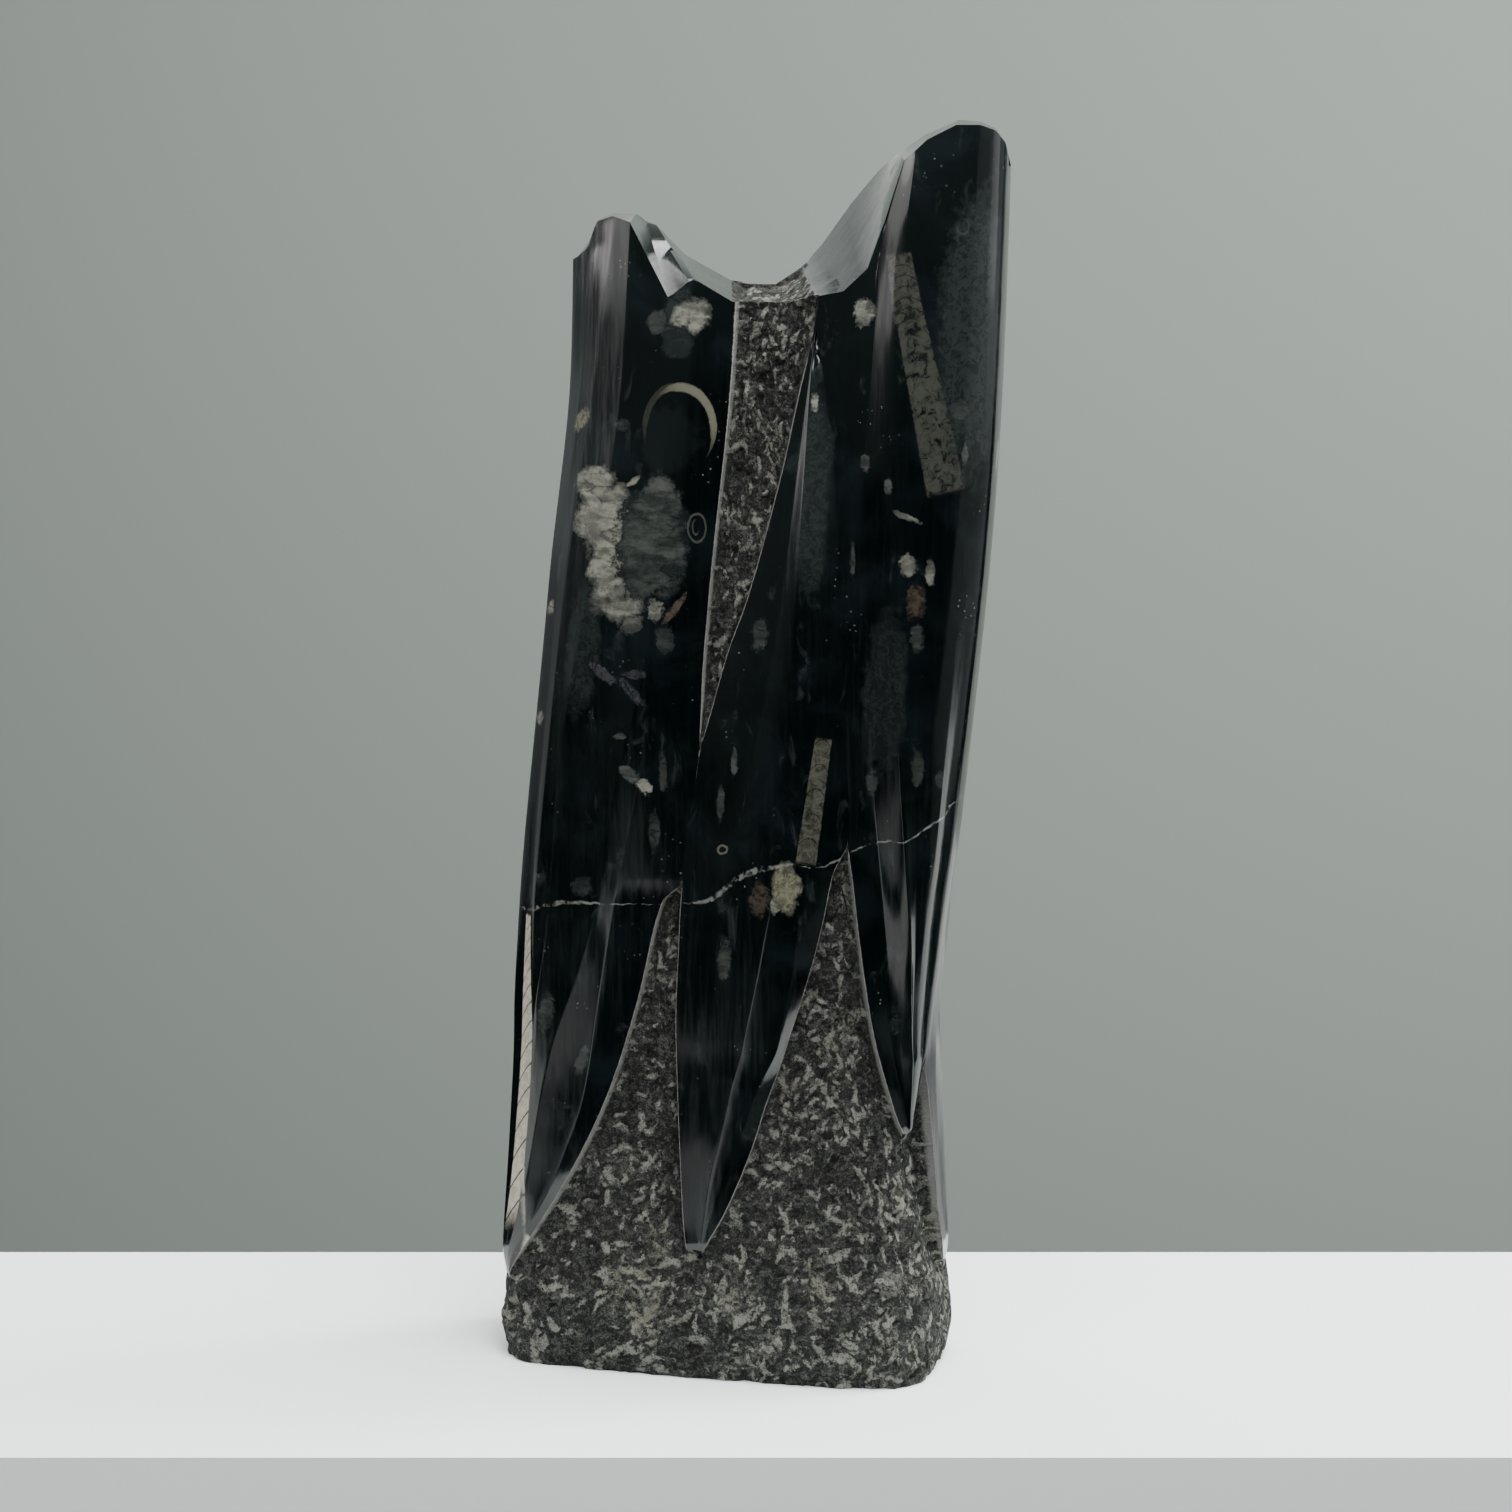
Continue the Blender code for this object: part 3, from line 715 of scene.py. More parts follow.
    def mark_sharp(self, mesh: bpy.types.Mesh) -> None:
        """Mark edges sharp where their two faces turn by more than an angle, and where the
        finish changes. The polished top keeps every crease; walls and pecked stone only arrises.
        """
        count = len(mesh.loops)
        edge = np.empty(count, dtype=np.int32)
        mesh.loops.foreach_get("edge_index", edge)
        size = np.empty(len(mesh.polygons), dtype=np.int32)
        mesh.polygons.foreach_get("loop_total", size)
        normal = np.empty(len(mesh.polygons) * 3)
        mesh.polygons.foreach_get("normal", normal)
        normal = normal.reshape(-1, 3)
        kind = np.empty(len(mesh.polygons), dtype=np.int32)
        mesh.polygons.foreach_get("material_index", kind)
        face = np.repeat(np.arange(len(size)), size)
        order = np.argsort(edge, kind="stable")
        first, second = face[order[0::2]], face[order[1::2]]
        turn = np.degrees(np.arccos(np.clip((normal[first] * normal[second]).sum(1), -1, 1)))
        polished_top = (kind[first] == 0) & (kind[second] == 0) & (normal[first, 2] > 0.3)
        limit = np.where(polished_top, self.cap_crease_angle, self.wall_crease_angle)
        sharp = (turn > limit) | (kind[first] != kind[second])
        sharp |= (np.minimum(normal[first, 2], normal[second, 2]) < 0.3) & (
            np.maximum(normal[first, 2], normal[second, 2]) > 0.6)
        flags = np.zeros(len(mesh.edges), dtype=bool)
        flags[edge[order[0::2]]] = sharp
        mesh.attributes.new("sharp_edge", "BOOLEAN", "EDGE").data.foreach_set("value", flags)


class Graph:
    """Short words for laying shader nodes, each of which returns its output socket."""

    def __init__(self, material: bpy.types.Material) -> None:
        """Start on an emptied node tree with a Principled shader wired to the output."""
        material.use_nodes = True
        self.tree = material.node_tree
        self.tree.nodes.clear()
        self.shader = self.tree.nodes.new("ShaderNodeBsdfPrincipled")
        out = self.tree.nodes.new("ShaderNodeOutputMaterial")
        self.tree.links.new(self.shader.outputs[0], out.inputs[0])

    def put(self, socket: Socket, value: object) -> None:
        """Link a socket to another socket's value, or set it to a constant."""
        if isinstance(value, Socket):
            self.tree.links.new(value, socket)
        elif value is not None:
            socket.default_value = value

    def node(self, kind: str, inputs: dict, output: int | str = 0, **settings: object) -> Socket:
        """Add a node.

        Args:
            kind: the node's type, without the words ShaderNode.
            inputs: values or sockets by input name or number.
            output: which output to return.
            settings: the node's own properties.

        Returns:
            The node's output socket.
        """
        made = self.tree.nodes.new("ShaderNode" + kind)
        for name, value in settings.items():
            setattr(made, name, value)
        for name, value in inputs.items():
            self.put(made.inputs[name], value)
        return made.outputs[output]

    def math(self, word: str, a: object, b: object = None, c: object = None, clamp: bool = False):
        """Add a Math node, such as ADD or MULTIPLY."""
        return self.node("Math", {0: a, 1: b, 2: c}, operation=word, use_clamp=clamp)

    def times(self, a: object, b: object) -> Socket:
        """Multiply two values."""
        return self.math("MULTIPLY", a, b)

    def times_plus(self, a: object, b: object, c: object) -> Socket:
        """Multiply two values and add a third."""
        return self.math("MULTIPLY_ADD", a, b, c)

    def most(self, a: object, b: object) -> Socket:
        """Give the larger of two values."""
        return self.math("MAXIMUM", a, b)

    def away(self, value: object) -> Socket:
        """Give a value without its sign."""
        return self.math("ABSOLUTE", value)

    def part(self, place: Socket, axis: int) -> Socket:
        """Give one part of a place: 0, 1 or 2 for x, y or z."""
        return self.node("SeparateXYZ", {0: place}, axis)

    def vector(self, word: str, a: object, b: object = None, scale: object = None, output: int = 0):
        """Add a Vector Math node."""
        inputs = {0: a, 1: b}
        if scale is not None:
            inputs["Scale"] = scale
        return self.node("VectorMath", inputs, output, operation=word)

    def ramp(self, value: object, low: float, high: float, to_low: float = 0.0, to_high: float = 1.0):
        """Carry a value from one range to another, smoothly and held at the ends."""
        if low > high:
            low, high, to_low, to_high = high, low, to_high, to_low
        return self.node(
            "MapRange",
            {"Value": value, "From Min": low, "From Max": high, "To Min": to_low, "To Max": to_high},
            interpolation_type="SMOOTHSTEP", clamp=False)

    def mix(self, share: object, a: object, b: object) -> Socket:
        """Mix two colours by a share."""
        a, b = (v if isinstance(v, Socket) else (*v, 1.0) for v in (a, b))
        return self.node("Mix", {0: share, 6: a, 7: b}, 2, data_type="RGBA")

    def noise(self, at: object, scale: float, detail: float = 2.0, rough: float = 0.5, warp: float = 0.0,
              output: int = 0) -> Socket:
        """Add a Noise texture: its value, or its colour as three values, read at a place in millimetres."""
        return self.node("TexNoise", {"Vector": at, "Scale": scale, "Detail": detail, "Roughness": rough,
                                      "Distortion": warp}, output)

    def place_mm(self) -> Socket:
        """Give the place on the stone, in millimetres."""
        return self.vector("SCALE", self.node("TexCoord", {}, "Object"), scale=1 / MM)

    def attribute(self, name: str, output: str = "Fac") -> Socket:
        """Read a number, or a Vector, that the mesh carries at its points."""
        return self.node("Attribute", {}, output, attribute_name=name)

    def cells(self, at: object, output: str, feature: str = "F1", flat: bool = False) -> Socket:
        """Read a Voronoi texture of cells about one unit across."""
        return self.node("TexVoronoi", {"Vector": at, "Scale": 1.0}, output, feature=feature,
                         voronoi_dimensions="2D" if flat else "3D")


class Matter(Enum):
    """What an inclusion in the stone is made of: its colour, and the colour of its darker parts. The
    grey-green haze is not matter of the stone but a painted sheen that stands in for reflections on the
    polished facets.
    """

    # Painted sheen: the grey-green haze stands in for reflections on the polished facets.
    PAINTED_SHEEN = ((0.0170, 0.0205, 0.0205), (0.0060, 0.0080, 0.0085))
    CALCITE = ((0.225, 0.220, 0.182), (0.030, 0.032, 0.029))
    SHELL = ((0.170, 0.160, 0.112), (0.040, 0.040, 0.031))
    GREY = ((0.070, 0.073, 0.066), (0.009, 0.012, 0.012))
    BROWN = ((0.062, 0.047, 0.036), (0.012, 0.010, 0.009))
    LILAC = ((0.050, 0.049, 0.056), (0.008, 0.008, 0.010))


@dataclass(frozen=True)
class Inclusion:
    """A scrap of shell or calcite, or a patch of painted sheen: an ellipsoid in the stone with a ragged skin.

    centre is its middle, facing the bearing that its flat side looks to, lean the turn of its
    length above level, half its half length and half width, and strength how clearly it shows.
    """

    centre: Triple
    facing: float
    lean: float
    half: Pair
    strength: float
    ragged: float

    @classmethod
    def of(cls, row: Row, ragged: float) -> "Inclusion":
        """Read a row: the middle's x, y and z, facing, lean, half length, half width, strength."""
        return cls(row[:3], row[3], row[4], row[5:7], row[7], ragged)

    def shade(self, graph: Graph, at: Socket, frayed: Socket) -> Socket:
        """Give the inclusion's share at a place: full in its heart, fading to none at a ragged
        distance of 1 in its own frame. frayed is a noise round 0.5 that moves the distance. The
        round gradient gives one less half the distance, out to a distance of 2.
        """
        deep = max(3.5, sum(self.half) * 0.45)
        near = graph.node("TexGradient", {"Vector": local_place(
            graph, at, self.centre, self.facing, self.lean, (self.half[0] * 2, deep * 2, self.half[1] * 2))},
            "Fac", gradient_type="SPHERICAL")
        torn = graph.times_plus(frayed, -self.ragged / 2, near)
        middle = self.ragged / 2
        return graph.ramp(torn, 1.0 - (middle + 0.98) / 2, 1.0 - (middle + 0.58) / 2, 0.0, self.strength)


@dataclass(frozen=True)
class ShellArc:
    """The cut rim of a coiled or round shell: part of an ellipse, thickest at its middle.

    Angles are in degrees in the ellipse's own frame, from its length towards its width.
    """

    centre: Triple
    facing: float
    lean: float
    half: Pair
    middle: float
    spread: float
    thickness: float
    strength: float
    colour: Colour = (0.165, 0.160, 0.120)

    def lay(self, graph: Graph, at: Socket, colour: Socket) -> Socket:
        """Lay the arc over a colour: shown where the distance from the ellipse is under its
        thickness, which falls to nothing at spread degrees to each side of the middle.
        """
        here = local_place(graph, at, self.centre, self.facing, self.lean,
                           (self.half[0], max(self.half), self.half[1]))
        parts = [graph.part(here, n) for n in (0, 2)]
        turn = graph.math("ARCTAN2", parts[1], parts[0])
        away = graph.away(graph.math("WRAP", graph.math(
            "SUBTRACT", turn, math.radians(self.middle)), math.pi, -math.pi))
        width = graph.ramp(away, math.radians(self.spread * 0.35), math.radians(self.spread), 1.0, 0.0)
        off = graph.away(graph.math("SUBTRACT", graph.vector("LENGTH", here, output=1), 1.0))
        thick = graph.times_plus(width, self.thickness / sum(self.half) * 2, 0.001)
        there = graph.ramp(graph.math("DIVIDE", off, thick), 0.35, 0.62, self.strength, 0.0)
        return graph.mix(graph.times(there, width), colour, self.colour)


@dataclass(frozen=True)
class StraightShell:
    """An orthoceras: a long straight cone of chambers, cut lengthwise by the polished face."""

    start: Triple
    facing: float
    lean: float
    length: float
    radii: Pair
    first_chamber: float
    growth: float
    strength: float
    sag: float = 0.22
    wall: float = 0.35
    colour: Colour = (0.175, 0.165, 0.115)
    core: Colour = (0.085, 0.082, 0.060)
    septum: Colour = (0.010, 0.010, 0.009)
    tilt: float = 0.0
    wear: float = 0.0

    def lay(self, graph: Graph, at: Socket, colour: Socket) -> Socket:
        """Lay the shell over a colour.

        The half width grows evenly along the shell. Chambers lengthen by growth for each
        millimetre, so a place's chamber number is the logarithm of one plus growth times the
        way over the first chamber, over growth, and septa lie where it passes whole numbers,
        curved by the square of the place across and leant by tilt chambers. wear is how much of
        the shell is lost where its mottling is darkest.

        Args:
            graph: the material's nodes.
            at: the place in millimetres.
            colour: the colour so far.

        Returns:
            The colour with the shell in it.
        """
        here = local_place(graph, at, self.start, self.facing, self.lean, (1.0, 1.0, 1.0))
        along = graph.part(here, 0)
        deep = graph.part(here, 1)
        across = graph.part(here, 2)
        half = graph.times_plus(along, (self.radii[1] - self.radii[0]) / self.length, self.radii[0])
        side = graph.math("DIVIDE", graph.away(across), half)
        inside = graph.ramp(side, 0.9, 1.04, 1.0, 0.0)
        for value, full, none in ((along, 0.8, -0.8), (along, self.length - 1.0, self.length + 1.2),
                                  (graph.away(deep), 8.0, 10.0)):
            inside = graph.times(inside, graph.ramp(value, full, none, 1.0, 0.0))
        number = graph.math("LOGARITHM", graph.times_plus(along, self.growth / self.first_chamber, 1.0),
                            math.e)
        number = graph.times(number, 1 / self.growth)
        number = graph.times_plus(graph.times(side, side), self.sag, number)
        number = graph.times_plus(graph.math("DIVIDE", across, half), self.tilt, number)
        off = graph.away(graph.math("SUBTRACT", graph.math("FRACT", number), 0.5))
        line = graph.ramp(off, 0.5 - self.wall / self.first_chamber, 0.5, 0.0, 1.0)
        mottle = graph.noise(at, 0.32, 5.0, 0.72, 0.8)
        body = graph.mix(graph.ramp(mottle, 0.38, 0.60), self.core, self.colour)
        body = graph.mix(line, body, self.septum)
        inside = graph.times(inside, graph.ramp(mottle, 0.36, 0.48, 1.0 - self.wear, 1.0))
        return graph.mix(graph.times(inside, self.strength), colour, body)


@dataclass(frozen=True)
class CalciteVein:
    """A thin sheet of calcite through the block, given by its height and thickness across."""

    line: tuple[Triple, ...]
    low: float
    high: float
    reach: Pair = (-95.0, 95.0)
    thickest: float = 2.6
    strength: float = 0.6
    colour: Colour = (0.23, 0.23, 0.215)

    def curve(self, graph: Graph, place: Socket, points: Sequence[Pair]) -> Socket:
        """Read a smooth curve through points whose places and values are shares from 0 to 1."""
        node = graph.tree.nodes.new("ShaderNodeFloatCurve")
        curve = node.mapping.curves[0]
        for _ in range(len(points) - 2):
            curve.points.new(0.5, 0.5)
        for point, (at, value) in zip(curve.points, points):
            point.location = (at, value)
        node.mapping.update()
        graph.put(node.inputs["Value"], place)
        return node.outputs[0]

    def lay(self, graph: Graph, at: Socket, colour: Socket) -> Socket:
        """Lay the vein over a colour where the height is within half its thickness of its line."""
        across = graph.part(at, 0)
        up = graph.part(at, 2)
        span = self.reach[1] - self.reach[0]
        share = graph.math("MULTIPLY_ADD", across, 1 / span, -self.reach[0] / span, clamp=True)
        ends = (self.line[0], self.line[-1])
        points = [(0.0, *ends[0][1:])] + [((x - self.reach[0]) / span, z, t) for x, z, t in self.line]
        points += [(1.0, *ends[1][1:])]
        rise = self.high - self.low
        height = self.curve(graph, share, [(a, (z - self.low) / rise) for a, z, _ in points])
        height = graph.times_plus(height, rise, self.low)
        thick = self.curve(graph, share, [(a, t / self.thickest) for a, _, t in points])
        thick = graph.times_plus(thick, self.thickest / 2, 0.02)
        off = graph.math("DIVIDE", graph.away(graph.math("SUBTRACT", up, height)), thick)
        worn = graph.ramp(graph.noise(at, 0.3, 4.0, 0.75), 0.41, 0.58)
        there = graph.times(graph.ramp(off, 0.5, 1.2, self.strength, 0.0), worn)
        return graph.mix(there, colour, self.colour)


def local_place(graph: Graph, at: Socket, centre: Triple, facing: float, lean: float,
                size: Triple) -> Socket:
    """Turn a place into a fossil's own frame: along it, into the stone, and across it.

    Args:
        graph: the material's nodes.
        at: the place in millimetres.
        centre: the frame's origin.
        facing: the bearing that the frame's flat side looks to.
        lean: the turn of the frame's length above level.
        size: the lengths that count as one.

    Returns:
        The place in the frame.
    """
    turn = (0.0, -math.radians(lean), math.radians(facing - 270.0))
    return graph.node("Mapping", {"Vector": at, "Location": centre, "Rotation": turn, "Scale": size},
                      vector_type="TEXTURE")


@dataclass(frozen=True)
class FossilBed:
    """Every fossil and vein in the block, front and back, and the patches of painted sheen on the front."""

    inclusions: tuple[tuple[Matter, tuple[Row, ...]], ...] = (
        # Painted sheen: grey-green patches along the front facets that stand in for reflections.
        (Matter.PAINTED_SHEEN, (
            (85, -20, 372, 300, 88, 58, 17, 0.9), (-18, -30, 380, 274, 62, 12, 6, 1),
            (-52, -26, 262, 250, 84, 30, 9, 0.7), (30, -30, 320, 275, 88, 46, 7, 0.7),
            (56, -30, 250, 285, 86, 34, 9, 0.6),
        )),
        (Matter.CALCITE, (
            (-43.7, -29.1, 307.1, 256, 8, 17.2, 14.4, 0.78), (-41.7, -30, 292.8, 260, 63, 15.4, 11.6, 1),
            (-49, -24.7, 318, 243, 8, 11.7, 7.9, 0.8), (-38.6, -30.9, 279, 260, 7, 12.9, 8.5, 0.55),
            (-28, -32.1, 291, 262, -30, 12, 9, 0.42), (-24.6, -32.2, 309.6, 266, 30, 9, 11, 0.34),
            (-26.6, -32.2, 300.3, 261, -35, 5, 1.9, 0.8), (-33.9, -30.3, 320.1, 261, 34, 3.8, 1.4, 0.8),
            (-25.4, -33.2, 276, 272, 88, 4.9, 3.6, 0.55), (-34, -31.9, 270.3, 260, 19, 5.5, 3.9, 0.45),
            (-68.9, -9.7, 271.9, 213, 17, 5, 3.5, 0.7), (46.8, -25.2, 380, 271, 89, 5.8, 4.5, 0.85),
            (-13.4, -30, 377.2, 277, 30, 8.6, 7.6, 0.9), (30.2, -27.4, 349.1, 286, -90, 3.8, 1.7, 0.75),
            (-73, -9.6, 232.5, 212, 17, 5.4, 3.5, 0.7), (-29.6, -33.8, 213.7, 274, -39, 4.6, 2.8, 0.65),
            (18.7, -36.3, 174.2, 277, 88, 3.6, 2.8, 0.6), (62.6, -28.7, 310.5, 289, -23, 6.6, 1.3, 0.55),
            (63.3, -28.5, 294, 291, -82, 4.8, 3.9, 0.6), (70.5, -25.8, 291.1, 292, -89, 5.6, 2, 0.6),
            (52, 31, 340, 86, 20, 15, 9, 0.9), (43, 31, 322, 86, -30, 9, 6, 0.7),
            (-52, 30, 330, 110, 70, 9, 5, 0.85), (-62, 30, 220, 120, 40, 6, 4, 0.8),
            (86, 2, 330, 0, 80, 8, 4, 0.7),
        )),
        (Matter.SHELL, (
            (-55.8, -17.7, 339.9, 217, 28, 8.4, 4.3, 0.7), (22.2, -35.8, 180.3, 278, 89, 10.7, 5.9, 0.7),
            (70, 24, 260, 60, 75, 10, 4, 0.7), (-66, 8, 360, 175, 80, 9, 3, 0.6),
        )),
        (Matter.GREY, (
            (-38.3, -33, 231, 257, 6, 3.2, 1.4, 0.7), (-34.6, -33.8, 217.7, 274, -39, 5, 2.8, 0.8),
            (-27.4, -32.1, 298.3, 261, 87, 25.2, 15.8, 0.6), (-24.6, -32.2, 312.6, 271, 87, 12.9, 9.7, 0.7),
            (-22, -32.5, 265.5, 285, 90, 6.3, 4.2, 0.45), (-20.9, -31.6, 335.1, 272, 65, 15, 13.5, 0.14),
            (-38.1, -29, 339.7, 261, 7, 3.4, 2.8, 0.5), (-24.8, -30, 375.6, 261, 71, 5.5, 5.2, 0.55),
            (-18, -30, 370, 275, 71, 8, 7, 0.4), (48, -26.6, 328.8, 258, 88, 3.4, 2.3, 0.9),
            (56.4, -29.7, 320.8, 253, 89, 3.4, 2, 0.8), (81.4, -20.7, 331.5, 308, -89, 4.5, 1.5, 0.8),
            (79.7, -21.9, 347, 299, -65, 4.8, 4.6, 0.45), (-23, -32.2, 218.7, 282, 90, 9.9, 1.7, 0.5),
            (-26.2, -32.5, 197.3, 280, 90, 8.6, 2.6, 0.45), (2.2, -32.1, 223.4, 257, 90, 7.1, 1.6, 0.6),
            (-2.5, -31.8, 208.7, 256, 89, 8.1, 1.8, 0.55), (-71.4, -22.8, 177, 218, 13, 5.1, 2.1, 0.7),
            (-52.6, -32.8, 176.7, 255, 13, 5.8, 4.3, 0.35), (66.3, -27.1, 268.6, 294, -89, 6.3, 3.2, 0.6),
            (43.6, -26.9, 294.9, 270, -90, 8.3, 1.2, 0.5), (-0.4, -36, 153.9, 267, 89, 9.7, 3.3, 0.55),
            (66.7, -25.6, 222.9, 302, -89, 9.1, 2.9, 0.45), (50.6, -26.6, 217.4, 272, 90, 6, 2.8, 0.45),
            (73.3, -20.2, 218, 316, -88, 4.2, 2.1, 0.45), (11.2, -30.8, 268.2, 254, 84, 7, 3.6, 0.5),
            (-64.6, -14, 287.3, 214, 82, 7.2, 2.4, 0.45), (58.6, -23.6, 129.6, 287, -89, 6.1, 2.5, 0.5),
            (-67, -30, 129.7, 249, 78, 9.5, 4.5, 0.45), (-52.8, -33.5, 113.8, 260, 70, 7.3, 2.8, 0.45),
            (62, 28, 300, 80, 60, 16, 7, 0.6), (35, 34, 250, 90, 80, 13, 3, 0.5),
            (-45, 32, 300, 100, 100, 18, 5, 0.5), (60, 30, 180, 70, 50, 9, 4, 0.6),
            (80, 0, 250, 0, 85, 14, 4, 0.5), (-78, 5, 210, 180, 85, 12, 4, 0.5),
        )),
        (Matter.BROWN, (
            (-18.9, -31.7, 276, 287, 52, 7.7, 1.7, 0.9), (12.6, -36.2, 175.7, 267, 87, 7.1, 4.7, 0.6),
            (66, -27.5, 281.2, 292, -89, 7.6, 4.2, 0.6), (-58, 28, 270, 120, 80, 12, 6, 0.6),
        )),
        (Matter.LILAC, (
            (-45.1, -30.5, 252.7, 259, -32, 8.5, 2.6, 0.7), (-34, -32.7, 247, 258, -45, 8, 2.3, 0.65),
            (-33, -32.7, 253, 258, 5, 6, 2, 0.55),
        )),
    )
    arcs: tuple[ShellArc, ...] = (
        ShellArc((-17.1, -31.1, 338.3), 275, 88, (15.2, 11.9), -40, 95, 2.8, 0.75),
        ShellArc((-17.1, -31.1, 338.3), 275, 88, (15.8, 12.5), 50, 70, 2.4, 0.14),
        ShellArc((-11.2, -29.5, 304.6), 288, -90, (4.9, 3.1), 0, 400, 0.8, 0.25),
        ShellArc((-11.5, -29.7, 305.0), 288, 90, (2.6, 1.2), 120, 160, 0.7, 0.22),
        ShellArc((-1.7, -33.6, 192.2), 254, 21, (2.1, 1.7), 0, 400, 0.7, 0.5),
        ShellArc((79.6, -20.5, 409.4), 300, -82, (3.0, 2.3), 20, 200, 0.5, 0.12),
        ShellArc((-60.0, 31.0, 200.0), 115, 20, (9.0, 7.0), 40, 120, 1.6, 0.8),
    )
    shells: tuple[StraightShell, ...] = (
        StraightShell((34.5, -31.1, 232.3), 296, -98, 43.9, (3.0, 3.7), 8.7, 0.004, 0.75, -0.30, 0.30,
                      (0.095, 0.092, 0.070), (0.034, 0.035, 0.028), wear=0.3),
        StraightShell((59.6, -28.4, 400.1), 288, -81, 23.3, (4.1, 5.5), 3.6, 0.01, 0.75, -0.75, 0.28,
                      (0.060, 0.058, 0.047), (0.020, 0.021, 0.018), wear=0.5),
        StraightShell((63.7, -27.5, 377.1), 288, -78, 59.4, (5.1, 6.9), 60.0, 0.001, 0.85, -0.1, 0.25,
                      (0.050, 0.051, 0.041), (0.018, 0.020, 0.017), wear=0.9),
        StraightShell((-76.7, -16.6, 161.7), 225, -88, 126.6, (2.4, 8.5), 4.5, 0.067, 1.0, -0.15, 0.40,
                      (0.45, 0.42, 0.36), (0.32, 0.29, 0.24), (0.045, 0.040, 0.032), 0.55),
        StraightShell((20.0, 35.0, 300.0), 90, 62, 95.0, (2.2, 6.5), 4.0, 0.04, 0.85),
        StraightShell((-38.0, 36.0, 150.0), 92, 78, 110.0, (2.0, 5.0), 5.0, 0.03, 0.8),
        StraightShell((78.0, 14.0, 190.0), 35, 84, 80.0, (1.8, 4.5), 4.5, 0.035, 0.8),
    )
    veins: tuple[CalciteVein, ...] = (
        CalciteVein((
            (-79.4, 163.3, 1.1), (-67.5, 168.2, 1.5), (-57.3, 170.5, 1.3), (-45.4, 171.0, 0.8),
            (-36.6, 171.2, 0.4), (-20.0, 171.6, 0.1), (-9.4, 172.9, 1.6), (-3.6, 175.6, 2.4),
            (0.1, 179.1, 2.6), (7.4, 184.2, 2.4), (16.5, 187.2, 1.8), (21.8, 188.5, 1.0),
            (31.7, 187.2, 0.5), (39.0, 189.7, 0.9), (44.9, 193.3, 0.9), (54.0, 196.4, 0.8),
            (62.6, 196.9, 0.5), (67.1, 199.7, 0.9), (74.2, 204.8, 0.9), (77.2, 208.8, 0.8)),
            150.0, 220.0),
    )
    small_half: float = 5.0
    small_ragged: float = 1.5
    big_ragged: float = 1.1
    grain_lean: float = 35.0
    grain_cell: Triple = (0.075, 0.15, 0.26)

    def lay(self, graph: Graph, at: Socket, base: Socket) -> Socket:
        """Lay every inclusion, shell and vein, and the patches of painted sheen, over the stone's own colour.

        Args:
            graph: the material's nodes.
            at: the place in millimetres.
            base: the stone's colour.

        Returns:
            The colour with the fossils in it.
        """
        ragged = self.shifted(graph, at, 0.13, 6.0)
        rippled = self.shifted(graph, at, 0.5, 0.8)
        frayed = graph.noise(at, 0.17, 6.0, 0.76)
        crumbled = graph.noise(at, 0.42, 4.0, 0.76)
        feather = graph.noise(self.shifted(graph, at, 0.16, 9.0), 0.42, 5.0, 0.74, 0.6)
        faces = self.crystals(graph, rippled)
        colour = base
        for matter, rows in self.inclusions:
            total: object = 0.0
            for row in rows:
                small = min(row[5:7]) < self.small_half
                spot = Inclusion.of(row, self.small_ragged if small else self.big_ragged)
                total = graph.most(total, spot.shade(
                    graph, rippled if small else ragged, crumbled if small else frayed))
            light, dark = matter.value
            grain = graph.ramp(feather, 0.34, 0.62, 0.25, 1.15)
            if matter in (Matter.CALCITE, Matter.GREY):
                grain = graph.times(faces, graph.times_plus(grain, 0.35, 0.68))
            lit = graph.times(total, grain)
            fill = graph.mix(graph.ramp(lit, 0.12, 0.95), dark, light)
            colour = graph.mix(graph.ramp(total, 0.02, 0.30), colour, fill)
        for arc in self.arcs:
            colour = arc.lay(graph, rippled, colour)
        for shell in self.shells:
            colour = shell.lay(graph, rippled, colour)
        for vein in self.veins:
            colour = vein.lay(graph, self.shifted(graph, at, 0.25, 2.4), colour)
        return colour

    def crystals(self, graph: Graph, at: Socket) -> Socket:
        """Give the tones of broken calcite: long cells that each have a tone of their own, streaks
        along them, and dark cracks round some of them.
        """
        laid = graph.node("Mapping", {"Vector": at, "Rotation": (0.0, math.radians(self.grain_lean), 0.0),
                                      "Scale": self.grain_cell}, vector_type="POINT")
        tone = graph.node("SeparateColor", {0: graph.cells(laid, "Color")}, 0)
        crack = graph.ramp(graph.cells(laid, "Distance", "DISTANCE_TO_EDGE"), 0.01, 0.09, 0.0, 1.0)
        where = graph.ramp(graph.noise(at, 0.13, 2.0, 0.5), 0.52, 0.64, 1.0, 0.0)
        crack = graph.most(crack, where)
        streak = graph.ramp(graph.noise(laid, 0.9, 6.0, 0.62), 0.38, 0.62, -0.24, 0.22)
        tone = graph.math("ADD", graph.times_plus(tone, 0.34, 0.66), streak)
        return graph.times(tone, graph.times_plus(crack, 0.45, 0.55))

    def shifted(self, graph: Graph, at: Socket, scale: float, most: float) -> Socket:
        """Push a place about by a coloured noise, by up to about half of most in millimetres."""
        push = graph.vector("SUBTRACT", graph.noise(at, scale, 3.0, 0.6, output=1), (0.5, 0.5, 0.5))
        return graph.vector("ADD", at, graph.vector("SCALE", push, scale=most))


